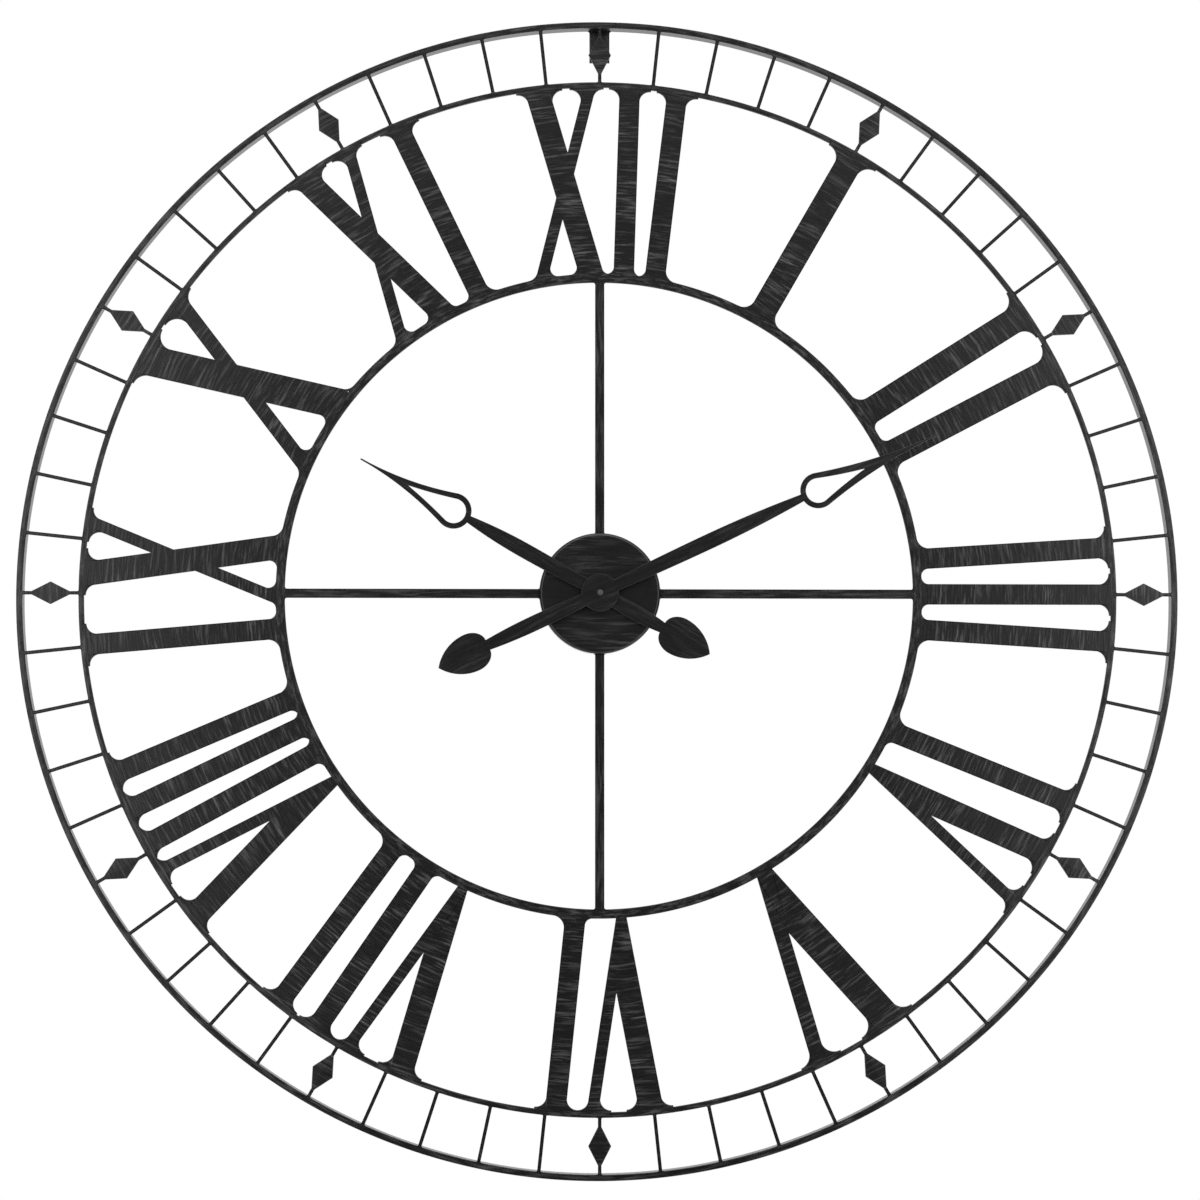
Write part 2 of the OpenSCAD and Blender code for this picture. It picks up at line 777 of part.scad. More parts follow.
module rotor_magnet() color(steel)
    translate([rotor_axle[0], 0, rotor_axle[1]])
        slab(magnet_back, magnet_front)
            ring(magnet_r, 0.6);

// --- Movement ---

module case_plan()
    rounded(-case_w / 2, case_bottom, case_w / 2, case_top, case_corner);

// Bearing post with a blind hole in its end, at depth from..to with its mouth at to or from
module bearing(at, back, front, r, hole_r, hole_back, hole_front)
    translate([at[0], 0, at[1]])
        difference() {
            slab(back, front)
                circle(r, $fn = 48);
            slab(hole_back, hole_front)
                circle(hole_r, $fn = 48);
        }

module movement_case() color(black_plastic) {
    difference() {
        slab(case_back, case_front)
            case_plan();
        slab(case_back - cut, case_in)
            translate([-case_in_w / 2, chamber_bottom])
                square([case_in_w, chamber_top - chamber_bottom]);
        slab(case_back - cut, case_in)
            translate([-case_in_w / 2, well_bottom])
                square([case_in_w, well_top - well_bottom]);
        slab(case_in - cut, case_front + cut)
            circle(bush_r);
        slab(case_in - cut, case_in + bush_shoulder)
            circle(bush_r + bush_shoulder);
        translate([minute_axle[0], 0, minute_axle[1]])
            slab(case_in - cut, case_in + minute_pivot)
                circle(minute_pivot_r + pivot_run, $fn = 48);
    }
    for (at = plate_posts)
        bearing(at, plate_front, case_in, plate_post_r, screw_r, plate_front - cut, plate_front + 4);
    for (at = cover_posts)
        bearing(at, case_back, case_in, cover_post_r, screw_r, case_back - cut, case_back + 6);
    bearing(third_axle, third_boss_front, case_in, pivot_r + 0.6, pivot_r + pivot_run,
        third_boss_front - cut, third_boss_front + pivot_len + 0.2);
}

module movement_cover() color(black_plastic) {
    difference() {
        slab(cover_back, case_back)
            intersection() {
                case_plan();
                translate([-case_w / 2, well_top])
                    square([case_w, case_top - well_top]);
            }
        for (at = cover_posts)
            translate([at[0], 0, at[1]])
                slab(cover_back - cut, case_back + cut)
                    circle(screw_r, $fn = 48);
        translate([minute_axle[0], 0, minute_axle[1]])
            slab(cover_back - cut, case_back + cut)
                circle(stem_r + run, $fn = 48);
        slab(cover_back + 0.5, case_back + cut)
            circle(pivot_r + pivot_run, $fn = 48);
        for (at = [inter_axle, rotor_axle])
            translate([at[0], 0, at[1]])
                slab(cover_back + 0.5, case_back + cut)
                    circle(small_pivot_r + pivot_run, $fn = 48);
    }
    bearing([0, 0], case_back, case_back + 1, 1.2, pivot_r + pivot_run, case_back - cut, case_back + 1 + cut);
    bearing(third_axle, case_back, third_boss_back, 1.5, pivot_r + pivot_run,
        third_boss_back - pivot_len - 0.2, third_boss_back + cut);
    for (at = [inter_axle, rotor_axle])
        bearing(at, case_back, case_back + 0.6, 1.2, small_pivot_r + pivot_run, case_back - cut,
            case_back + 0.6 + cut);
    for (at = board_posts)
        translate([at[0], 0, at[1]])
            slab(case_back, board_back)
                circle(1.2, $fn = 48);
}

module cover_screws() color(steel)
    for (at = cover_posts)
        translate([at[0], 0, at[1]]) {
            slab(cover_back - 1, cover_back)
                circle(screw_head_r, $fn = 48);
            slab(cover_back, case_back + 5)
                circle(screw_r, $fn = 48);
        }

module middle_plate() color(white_plastic) {
    difference() {
        slab(plate_back, plate_front)
            rounded(-plate_half_w, plate_bottom, plate_half_w, plate_top, 2);
        slab(plate_back - cut, plate_front + cut)
            circle(arbor_r + run, $fn = 48);
        translate([third_axle[0], 0, third_axle[1]])
            slab(plate_back - cut, plate_front + cut)
                circle(2.2, $fn = 48);
        translate([minute_axle[0], 0, minute_axle[1]])
            slab(plate_back - cut, plate_front + cut)
                circle(stem_r + run, $fn = 48);
        for (at = plate_posts)
            translate([at[0], 0, at[1]])
                slab(plate_back - cut, plate_front + cut)
                    circle(screw_r, $fn = 48);
        for (at = [inter_axle, rotor_axle])
            translate([at[0], 0, at[1]])
                slab(plate_back - cut, plate_back + 0.3)
                    circle(small_pivot_r + pivot_run, $fn = 48);
    }
    bearing(inter_axle, inter_boss_front, plate_back, 1.2, small_pivot_r + pivot_run,
        inter_boss_front - cut, plate_back + cut);
    bearing(rotor_axle, rotor_boss_front, plate_back, 1.2, small_pivot_r + pivot_run,
        rotor_boss_front - cut, plate_back + cut);
}

module plate_screws() color(steel)
    for (at = plate_posts)
        translate([at[0], 0, at[1]]) {
            slab(plate_back - 0.9, plate_back)
                circle(screw_head_r, $fn = 48);
            slab(plate_back, plate_front + 3)
                circle(screw_r, $fn = 48);
        }

module mounting_bush() color(brass)
    difference() {
        union() {
            slab(case_in, bush_front)
                circle(bush_r);
            slab(case_in, case_in + bush_shoulder)
                circle(bush_r + bush_shoulder);
        }
        slab(case_in - cut, bush_front + cut)
            circle(pipe_r + run);
    }

module rubber_washer() color("#202020")
    slab(case_front, case_front + rubber_t)
        ring(bush_r + 7, bush_r);

module brass_washer() color(brass)
    slab(washer_back, nut_back)
        ring(nut_af / 2 + 2, bush_r);

module bush_nut() color(brass)
    slab(nut_back, nut_back + nut_t)
        difference() {
            circle(nut_af / sqrt(3), $fn = 6);
            circle(bush_r);
        }

// --- Electrics ---

board_back = case_back + 0.7;
board_front = board_back + 1;
board_x0 = 8.5;
board_x1 = 22.8;
board_z0 = 8.5;
board_z1 = 26.5;
board_posts = [[board_x0 + 3, board_z1 - 3], [board_x1 - 3, board_z0 + 3]];

module circuit_board() color("#1f5a38")
    slab(board_back, board_front)
        translate([board_x0, board_z0])
            square([board_x1 - board_x0, board_z1 - board_z0]);

module driver_chip() color("#141414")
    slab(board_front, board_front + 1.2)
        translate([board_x0 + 5, board_z0 + 7])
            circle(3, $fn = 48);

module quartz_can() color(steel)
    translate([board_x1 - 3, -(board_front + 1.5), board_z0 + 8])
        cylinder(h = 6, r = 1.5, $fn = 48);

module stator() color(steel)
    slab(stator_back, stator_front)
        difference() {
            union() {
                translate([rotor_axle[0] - core_half, rotor_axle[1] - magnet_r - 1.3])
                    square([2 * core_half, 2 * magnet_r + 2]);
                for (x = [-core_half, coil_half + 0.3])
                    translate([rotor_axle[0] + x, rotor_axle[1]])
                        square([core_half - coil_half - 0.3, coil_z + core_w / 2 + 2 - rotor_axle[1]]);
            }
            translate(rotor_axle)
                circle(magnet_r + 0.5);
        }

module coil_core() color(steel)
    slab(stator_front, stator_front + core_t)
        translate([rotor_axle[0] - core_half, coil_z - core_w / 2])
            square([2 * core_half, core_w]);

// Places a shape about the coil's own axis, which lies along X
module along_coil(x)
    translate([rotor_axle[0] + x, -(stator_front + core_t / 2), coil_z])
        rotate([0, 90, 0])
            children();

barrel_r = 2;
flange_t = 1;

module coil_bobbin() color(white_plastic)
    difference() {
        union() {
            along_coil(-coil_half)
                cylinder(h = 2 * coil_half, r = barrel_r, $fn = 48);
            for (x = [-coil_half, coil_half - flange_t])
                along_coil(x)
                    cylinder(h = flange_t, r = coil_flange_r, $fn = 48);
        }
        along_coil(0)
            cube([core_w, core_t, 2 * coil_half + 2 * cut], center = true);
    }

module coil_winding() color("#b5622e")
    difference() {
        along_coil(flange_t - coil_half)
            cylinder(h = 2 * (coil_half - flange_t), r = coil_flange_r - 0.3, $fn = 48);
        along_coil(-coil_half)
            cylinder(h = 2 * coil_half, r = barrel_r, $fn = 48);
    }

button_len = 1.2;
button_r = 2.75;

module battery() color("#2d5fa8")
    translate([-cell_len / 2, -cell_depth, cell_z])
        rotate([0, 90, 0]) {
            cylinder(h = cell_len - button_len, r = cell_r);
            translate([0, 0, cell_len - button_len])
                cylinder(h = button_len, r = button_r, $fn = 48);
        }

leaf_t = 0.4;
contact_w = 9;
contact_deep = 11;

// Folded spring strip between the end of the battery and the end wall of its well
module contact(side) {
    x0 = cell_len / 2;
    x1 = case_in_w / 2;
    y0 = case_in - contact_deep;
    y1 = case_in - 0.4;
    translate([0, 0, cell_z - contact_w / 2])
        linear_extrude(contact_w)
            mirror([side < 0 ? 1 : 0, 0])
                polygon([[x0, -y0], [x0 + leaf_t, -y0], [x0 + leaf_t, -(y1 - leaf_t)],
                    [x1 - leaf_t, -(y1 - leaf_t)], [x1 - leaf_t, -y0], [x1, -y0], [x1, -y1], [x0, -y1]]);
}

module positive_contact() color(steel)
    contact(1);

module negative_contact() color(steel)
    contact(-1);

rim_hoop();
outer_dial_ring();
inner_dial_ring();
spoke(0);  // spoke_top
spoke(90);  // spoke_right
spoke(180);  // spoke_bottom
spoke(270);  // spoke_left
hub_cup();
minute_ticks();
hour_diamonds();
numeral(1);  // numeral_one
numeral(2);  // numeral_two
numeral(3);  // numeral_three
numeral(4);  // numeral_four
numeral(5);  // numeral_five
numeral(6);  // numeral_six
numeral(7);  // numeral_seven
numeral(8);  // numeral_eight
numeral(9);  // numeral_nine
numeral(10);  // numeral_ten
numeral(11);  // numeral_eleven
numeral(12);  // numeral_twelve
hanger_plate();
movement_case();
movement_cover();
cover_screws();
middle_plate();
plate_screws();
mounting_bush();
rubber_washer();
brass_washer();
bush_nut();
circuit_board();
driver_chip();
quartz_can();
stator();
coil_core();
coil_bobbin();
coil_winding();
battery();
positive_contact();
negative_contact();
hour_hand();
hour_collet();
minute_hand();
minute_collet();
minute_arbor();
centre_wheel();
hour_wheel();
minute_wheel();
setting_knob();
third_wheel();
seconds_wheel();
intermediate_wheel();
rotor_pinion();
rotor_magnet();
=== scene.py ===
import json
import math

import bmesh
import bpy
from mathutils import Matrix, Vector, geometry, kdtree


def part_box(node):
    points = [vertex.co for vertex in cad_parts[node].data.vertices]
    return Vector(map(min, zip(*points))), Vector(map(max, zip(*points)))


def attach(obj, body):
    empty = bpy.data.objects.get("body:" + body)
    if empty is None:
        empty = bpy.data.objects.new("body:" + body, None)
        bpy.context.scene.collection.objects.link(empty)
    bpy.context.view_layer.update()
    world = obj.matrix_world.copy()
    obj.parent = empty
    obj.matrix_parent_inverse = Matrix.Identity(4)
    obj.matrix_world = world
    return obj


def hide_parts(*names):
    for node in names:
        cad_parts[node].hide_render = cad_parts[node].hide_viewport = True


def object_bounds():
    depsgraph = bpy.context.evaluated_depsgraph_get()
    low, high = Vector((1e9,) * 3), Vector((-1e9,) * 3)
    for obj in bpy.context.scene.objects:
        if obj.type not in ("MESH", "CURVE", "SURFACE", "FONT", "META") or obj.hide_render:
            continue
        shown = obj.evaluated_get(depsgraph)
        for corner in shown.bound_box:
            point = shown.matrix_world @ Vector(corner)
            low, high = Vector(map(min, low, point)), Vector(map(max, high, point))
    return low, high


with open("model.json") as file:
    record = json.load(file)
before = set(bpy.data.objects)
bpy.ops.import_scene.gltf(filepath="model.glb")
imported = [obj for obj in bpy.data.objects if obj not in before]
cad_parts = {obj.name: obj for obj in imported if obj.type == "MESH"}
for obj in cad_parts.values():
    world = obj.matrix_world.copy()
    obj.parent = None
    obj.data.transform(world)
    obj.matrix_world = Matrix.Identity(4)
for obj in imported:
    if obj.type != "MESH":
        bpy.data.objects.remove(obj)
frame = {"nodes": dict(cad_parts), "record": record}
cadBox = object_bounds()
cadNodes = frame["nodes"]
mm = 0.001
print("frame loaded:", len(cadNodes), "nodes")


def radii(node):                                     # least and greatest distance from the dial's axis
    far = [math.hypot(v.co.x, v.co.z) / mm for v in cadNodes[node].data.vertices]
    return min(far), max(far)


def depths(node):                                    # distance of a node's back and front from the wall
    low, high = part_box(node)
    return -high.y / mm, -low.y / mm


trackOut, rimOut = radii("rim_hoop")
numeralOut, trackIn = radii("outer_dial_ring")
spokeOut, numeralIn = radii("inner_dial_ring")
hubRadius = radii("hub_cup")[1]
dialBack, dialFront = depths("outer_dial_ring")
rimBack = depths("rim_hoop")[0]

dialStyle = {                                        # mm, but for the first
    "steps": 720,            # chords round each hoop
    "edge": 0.7,             # rounded off every cut edge
    "tickWidth": 3.6,
    "tickFillet": 1.5,       # weld feet of the minute ticks
    "diamondWidth": 23.5,
    "diamondGap": 5.7,       # from a diamond's point to the hoops
    "spokeWidth": 9.5,
    "spokeFillet": 2.5,
    "stem": 21.3,            # stroke widths of the numerals
    "thick": 25.0,
    "thin": 12.0,
    "shortWeight": 1.27,     # how much wider the strokes of I, II, V and X are
    "foot": 11.0,            # weld feet at the outer ring
    "heel": 8.0,             # and at the inner ring, between two strokes
    "heelOut": 13.0,         # and there, on a numeral's outer sides
    "serif": 1.8,            # how far the outer feet end before the ring
}

glyphs = {                                           # strokes of each hour, in degrees from its own line
    1: [("stem", 0, 0)],
    2: [("stem", -3.5, -4.2), ("stem", 3.5, 4.2)],
    3: [("stem", -5.3, -6.3), ("stem", 0, 0), ("stem", 5.3, 6.3)],
    4: [("stem", -6, -4.8), ("vee", 0.2, 3.9, 6.6, 2.6)],
    5: [("vee", -4.1, 0.7, 4.9, -0.3)],
    6: [("vee", -5.7, -2.6, 0.8, -3.9), ("stem", 4.9, 4.3)],
    7: [("vee", -7.5, -3.9, -1, -5.2), ("stem", 3, 2.2), ("stem", 8, 9)],
    8: [("vee", -8.7, -4.1, -2.3, -5.4), ("stem", 0.9, 0.6), ("stem", 5.2, 5.8), ("stem", 9.5, 11)],
    9: [("stem", -5.8, -6.3), ("thick", 2.1, 8.2), ("thin", 8, -0.8)],
    10: [("thick", -2.8, 6.1), ("thin", 4.8, -6.4)],
    11: [("thick", -5.4, 0.9), ("thin", 0.5, -7.9), ("stem", 6.7, 8.2)],
    12: [("thick", -7.1, -1.5), ("thin", -1.1, -10.4), ("stem", 3.4, 4.3), ("stem", 8.8, 9.9)],
}
hourNames = ["one", "two", "three", "four", "five", "six", "seven", "eight", "nine", "ten", "eleven",
             "twelve"]


def linear(hexColour):                               # sRGB hex to the linear colour that shaders take
    parts = [int(hexColour[i:i + 2], 16) / 255 for i in (1, 3, 5)]
    return [p / 12.92 if p <= 0.04045 else ((p + 0.055) / 1.055) ** 2.4 for p in parts] + [1]


def put(tree, kind, settings=None, links=None):      # adds one shader node with its settings and links
    node = tree.nodes.new("ShaderNode" + kind)
    settings = dict(settings or {})
    for name in [n for n in settings if isinstance(n, str) and n != "ramp" and n not in node.inputs]:
        if hasattr(node, name):
            setattr(node, name, settings.pop(name))  # modes first, because they change the sockets
    for name, value in settings.items():
        if name == "ramp":
            stops = node.color_ramp.elements
            while len(stops) < len(value):
                stops.new(0.5)
            for stop, (place, colour) in zip(stops, value):
                stop.position = place
                stop.color = linear(colour) if isinstance(colour, str) else [colour] * 3 + [1]
        else:
            node.inputs[name].default_value = value
    for name, source in (links or {}).items():
        tree.links.new(source, node.inputs[name])
    return node


def newMaterial(name):
    made = bpy.data.materials.new(name)
    made.use_nodes = True
    made.node_tree.nodes.clear()
    return made, made.node_tree


def finishMaterial(tree, shader):
    put(tree, "OutputMaterial", {}, {"Surface": shader.outputs[0]})


paintLook = {
    "black": "#070708",      # satin stove paint on mild steel
    "worn": "#121213",       # the same where the brush has greyed it all over
    "silver": "#737376",     # dark silver dragged over it with an almost dry brush
    "lineWidth": 1.4,        # mm across one bristle mark, drawn as coarse as it needs to show
    "lineLength": 34.0,      # mm along it
    "grainWidth": 1.0,       # mm across the fine grain under it
    "patch": 42.0,           # mm, how far one loading of the brush reaches
    "sway": 4.0,             # mm that a stroke wanders
    "swayLength": 62.5,      # mm between its turns
    "peel": 1.5,             # mm, the orange peel of sprayed or brushed stove paint, drawn coarser than real
    "edgePeel": 2.4,
}


seamAngle = 105              # puts the seam of the angle between two numerals
meanRadius = 430             # mm, about the middle of the numerals, where lengths round the dial are true


def makeBrushedPaint(name, turn=None, amount=1.0, cover=0.5, stretch=1.0, shift=0.0, waist=0.0, rough=0.22):
    # Steel, stove-painted satin black and dry-brushed with dark silver: a dark soft sheen with
    # thin grey streaks that follow the brush, denser in some patches than in others.
    made, tree = newMaterial(name)
    place = put(tree, "TexCoord")
    if turn is None:                                 # strokes that run round the dial
        apart = put(tree, "SeparateXYZ", {}, {"Vector": place.outputs["Object"]})
        flat = put(tree, "CombineXYZ", {}, {"X": apart.outputs["X"], "Y": apart.outputs["Z"]})
        spun = put(tree, "VectorRotate", {"rotation_type": "Z_AXIS", "Angle": math.radians(seamAngle)},
                   {"Vector": flat.outputs[0]})
        parts = put(tree, "SeparateXYZ", {}, {"Vector": spun.outputs[0]})
        angle = put(tree, "Math", {"operation": "ARCTAN2"}, {0: parts.outputs["Y"], 1: parts.outputs["X"]})
        along = put(tree, "Math", {"operation": "MULTIPLY", 1: meanRadius * mm}, {0: angle.outputs[0]})
        across = put(tree, "VectorMath", {"operation": "LENGTH"}, {0: flat.outputs[0]})
        alongOut, acrossOut = along.outputs[0], across.outputs["Value"]
    else:
        spun = put(tree, "VectorRotate", {"rotation_type": "Y_AXIS", "Angle": math.radians(90 - turn)},
                   {"Vector": place.outputs["Object"]})
        parts = put(tree, "SeparateXYZ", {}, {"Vector": spun.outputs[0]})
        alongOut, acrossOut = parts.outputs["X"], parts.outputs["Z"]
    wander = put(tree, "TexNoise", {"Scale": 1 / (paintLook["swayLength"] * mm), "Detail": 1.0,
                                    "W": shift, "noise_dimensions": "4D"},
                 {"Vector": place.outputs["Object"]})
    swayed = put(tree, "Math", {"operation": "MULTIPLY_ADD", 1: 2 * paintLook["sway"] * mm},
                 {0: wander.outputs[0], 2: acrossOut})
    brush = put(tree, "CombineXYZ", {"Z": shift}, {"X": alongOut, "Y": swayed.outputs[0]})

    def strokes(length, width, detail):              # noise drawn out along the brush
        scaled = put(tree, "Mapping", {"Scale": (1 / (length * stretch * mm), 0.5 / (width * mm), 1)},
                     {"Vector": brush.outputs[0]})
        return put(tree, "TexNoise", {"Scale": 1.0, "Detail": detail, "Roughness": 0.6},
                   {"Vector": scaled.outputs[0]}).outputs[0]

    marks = strokes(paintLook["lineLength"], paintLook["lineWidth"], 3.0)
    grain = strokes(paintLook["lineLength"] * 0.5, paintLook["grainWidth"], 2.0)
    patches = strokes(paintLook["patch"] * 1.8, paintLook["patch"] * 0.22, 2.0)
    lineMask = put(tree, "ValToRGB", {"ramp": [(cover, 0.0), (cover + 0.22, 1.0)]}, {"Fac": marks})
    patchMask = put(tree, "ValToRGB", {"ramp": [(0.36, 0.1), (0.66, 1.0)]}, {"Fac": patches})
    silvered = put(tree, "Math", {"operation": "MULTIPLY"},
                   {0: lineMask.outputs[0], 1: patchMask.outputs[0]})
    share = put(tree, "Math", {"operation": "MULTIPLY", 1: amount, "use_clamp": True},
                {0: silvered.outputs[0]})
    if waist:                                        # the brush spared a band across the middle
        level = put(tree, "Math", {"operation": "ABSOLUTE"}, {0: acrossOut})
        spared = put(tree, "MapRange", {"From Min": waist * mm, "From Max": 2 * waist * mm, "To Min": 0.12},
                     {"Value": level.outputs[0]})
        share = put(tree, "Math", {"operation": "MULTIPLY"}, {0: share.outputs[0], 1: spared.outputs[0]})
    tone = put(tree, "Math", {"operation": "MULTIPLY_ADD", 1: 0.5}, {0: patches, 2: grain})
    ground = put(tree, "ValToRGB", {"ramp": [(0.6, paintLook["black"]), (0.95, paintLook["worn"])]},
                 {"Fac": tone.outputs[0]})
    colour = put(tree, "Mix", {"data_type": "RGBA", 7: linear(paintLook["silver"])},
                 {0: share.outputs[0], 6: ground.outputs[0]})
    rougher = put(tree, "Math", {"operation": "MULTIPLY_ADD", 1: 0.14, 2: rough}, {0: share.outputs[0]})
    flakes = put(tree, "Math", {"operation": "MULTIPLY", 1: 0.9}, {0: share.outputs[0]})
    peel = put(tree, "TexNoise", {"Scale": 1 / (paintLook["peel"] * mm), "Detail": 3.0},
               {"Vector": place.outputs["Object"]})
    height = put(tree, "Math", {"operation": "MULTIPLY_ADD", 1: 0.5}, {0: peel.outputs[0], 2: marks})
    relief = put(tree, "Bump", {"Strength": 0.35, "Distance": 0.0002}, {"Height": height.outputs[0]})
    shader = put(tree, "BsdfPrincipled", {"IOR": 1.5},
                 {"Base Color": colour.outputs["Result"], "Roughness": rougher.outputs[0],
                  "Metallic": flakes.outputs[0], "Normal": relief.outputs[0]})
    finishMaterial(tree, shader)
    return made


def makeEdgePaint(name):
    # The same black stove paint on the rounded cut edges, drawn without the silver streaks: darker and a
    # little softer.
    made, tree = newMaterial(name)
    place = put(tree, "TexCoord")
    peel = put(tree, "TexNoise", {"Scale": 1 / (paintLook["edgePeel"] * mm), "Detail": 2.0},
               {"Vector": place.outputs["Object"]})
    colour = put(tree, "ValToRGB", {"ramp": [(0.35, "#0b0b0c"), (0.75, "#1c1c1d")]},
                 {"Fac": peel.outputs[0]})
    relief = put(tree, "Bump", {"Strength": 0.25, "Distance": 0.0002}, {"Height": peel.outputs[0]})
    shader = put(tree, "BsdfPrincipled", {"IOR": 1.5, "Roughness": 0.42},
                 {"Base Color": colour.outputs[0], "Normal": relief.outputs[0]})
    finishMaterial(tree, shader)
    return made


plainSpread = 0.1                                    # how far roughness varies over one surface
plainCloud = 14                                      # how many specks wide its soft clouds are


def makePlain(name, dark, light, rough=0.5, metallic=0.0, grain=1.1, bump=0.2, stretch=(1, 1, 1)):
    # A single stock with the fine mottling of its surface; grain is the width of a speck in mm.
    made, tree = newMaterial(name)
    place = put(tree, "TexCoord")
    scaled = put(tree, "Mapping", {"Scale": stretch}, {"Vector": place.outputs["Object"]})
    speck = put(tree, "TexNoise", {"Scale": 1 / (grain * mm), "Detail": 3.0}, {"Vector": scaled.outputs[0]})
    cloud = put(tree, "TexNoise", {"Scale": 1 / (plainCloud * grain * mm), "Detail": 2.0},
                {"Vector": place.outputs["Object"]})
    both = put(tree, "Math", {"operation": "MULTIPLY_ADD", 1: 0.5},
               {0: speck.outputs[0], 2: cloud.outputs[0]})
    colour = put(tree, "ValToRGB", {"ramp": [(0.55, dark), (0.95, light)]}, {"Fac": both.outputs[0]})
    roughness = put(tree, "Math", {"operation": "MULTIPLY_ADD", 1: plainSpread, 2: rough - plainSpread / 2},
                    {0: speck.outputs[0]})
    relief = put(tree, "Bump", {"Strength": bump, "Distance": 0.0001}, {"Height": speck.outputs[0]})
    shader = put(tree, "BsdfPrincipled", {"Metallic": metallic},
                 {"Base Color": colour.outputs[0], "Roughness": roughness.outputs[0],
                  "Normal": relief.outputs[0]})
    finishMaterial(tree, shader)
    return made


print("materials")
paintRound = makeBrushedPaint("stovePaintBrushedRound", amount=0.72)
paintHoop = makeBrushedPaint("stovePaintDabbedHoop", amount=0.55, cover=0.46, stretch=0.5, shift=4.0)
paintRim = makeBrushedPaint("stovePaintRim", amount=0.4, cover=0.46, stretch=0.6, shift=7.0, rough=0.2)
paintTick = makeBrushedPaint("stovePaintTick", amount=0.25, cover=0.5, shift=2.0)
paintUpright = makeBrushedPaint("stovePaintUpright", turn=0, amount=0.36, cover=0.45, shift=1.0)
paintLevel = makeBrushedPaint("stovePaintLevel", turn=90, amount=0.36, cover=0.45, shift=1.0)
paintHub = makeBrushedPaint("stovePaintHub", turn=90, amount=0.3, cover=0.46, stretch=1.1, shift=3.0,
                            waist=15.0)
paintEdge = makeEdgePaint("stovePaintCutEdge")


def clock(r, angle):
    return Vector((r * math.sin(math.radians(angle)), r * math.cos(math.radians(angle))))


def reach(p, d, r, side):                            # how far along d the circle of radius r is
    return -p.dot(d) + side * math.sqrt(p.dot(d) ** 2 - p.dot(p) + r * r)


def arcPoints(c, r, a0, a1, step):
    count = max(2, math.ceil(abs(a1 - a0) / step))
    return [c + Vector((math.cos(a), math.sin(a))) * r
            for a in (a0 + (a1 - a0) * i / count for i in range(count + 1))]


strokeOver = 6.0             # mm that every stroke runs into its ring, which then claims that part
arcStep = math.radians(6)


def footShape(p, d, n, ringRadius, r, side):         # the weld that spreads from a bar onto a ring
    lap, bite = 1.0, 0.1
    off = r - bite
    c = p + n * off + d * reach(p + n * off, d, ringRadius - side * off, side)
    corner = p + d * (reach(p, d, ringRadius, side) + strokeOver)
    out = c.normalized() * side
    beyond = c.normalized() * (ringRadius + side * strokeOver)
    a0, a1 = math.atan2(out.y, out.x), math.atan2(-n.y, -n.x)
    a1 = a0 + (a1 - a0 + math.pi) % (2 * math.pi) - math.pi
    return [c - n * (off + lap), corner - n * lap, beyond] + arcPoints(c, r, a0, a1, arcStep)


def footedBar(width, rIn, aIn, rOut, aOut, heels, toe, tip=0.0):
    p0, p1 = clock(rIn, aIn), clock(rOut, aOut)
    d = (p1 - p0).normalized()
    n = Vector((d.y, -d.x))
    over = d * strokeOver
    shapes = [[p0 - over + n * width / 2, p1 + over + n * width / 2, p1 + over - n * width / 2,
               p0 - over - n * width / 2]]
    for s in (-1, 1):
        edge = (p0 + p1) / 2 + n * s * width / 2
        shapes.append(footShape(edge, d, n * s, rOut - tip, toe, 1))
        shapes.append(footShape(edge, -d, n * s, rIn, heels[s > 0], -1))
    return shapes


def crossing(p, d, q, e):
    w = q - p
    return p + d * ((w.x * e.y - w.y * e.x) / (d.x * e.y - d.y * e.x))


def veeShape(thick, aOut, aIn, thin, bOut, bIn, toe):
    over = strokeOver
    a0, a1 = clock(numeralIn, aIn), clock(numeralOut, aOut)
    b0, b1 = clock(numeralIn, bIn), clock(numeralOut, bOut)
    d, e = (a1 - a0).normalized(), (b1 - b0).normalized()
    n, m = Vector((d.y, -d.x)) * thick / 2, Vector((e.y, -e.x)) * thin / 2
    shapes = [[a0 - n - d * over, a1 - n + d * over, a1 + n + d * over, crossing(a0 + n, d, b0 - m, e),
               b1 - m + e * over, b1 + m + e * over, b0 + m - e * over]]
    for s in (-1, 1):
        shapes.append(footShape(a1 + n * s - d * 2 * toe, d, n.normalized() * s,
                                numeralOut - dialStyle["serif"], toe, 1))
        shapes.append(footShape(b1 + m * s - e * 2 * toe, e, m.normalized() * s,
                                numeralOut - dialStyle["serif"], toe, 1))
    return shapes


def turnShape(points, angle):                        # turns a flat shape clockwise by a clock angle
    a = math.radians(-angle)
    return [Vector((p.x * math.cos(a) - p.y * math.sin(a), p.x * math.sin(a) + p.y * math.cos(a)))
            for p in points]


def numeralShapes(hour):
    style = dialStyle
    weight = style["shortWeight"] if hour in (1, 2, 5, 10) else 1
    shapes = []
    inner = [stroke[2] for stroke in glyphs[hour]]
    for stroke in glyphs[hour]:
        if stroke[0] == "vee":
            shapes += veeShape(style["thick"] * weight, stroke[1], stroke[2], style["thin"] * weight,
                               stroke[3], stroke[4], style["foot"] * weight)
        else:
            heels = [style["heelOut"] if stroke[2] == end(inner) else style["heel"] for end in (min, max)]
            shapes += footedBar(style[stroke[0]] * weight, numeralIn, stroke[2], numeralOut, stroke[1],
                                heels, style["foot"] * weight, style["serif"])
    return [turnShape(s, 30 * hour) for s in shapes]


def signedArea(points):
    return sum(p.x * q.y - q.x * p.y for p, q in zip(points, points[1:] + points[:1])) / 2


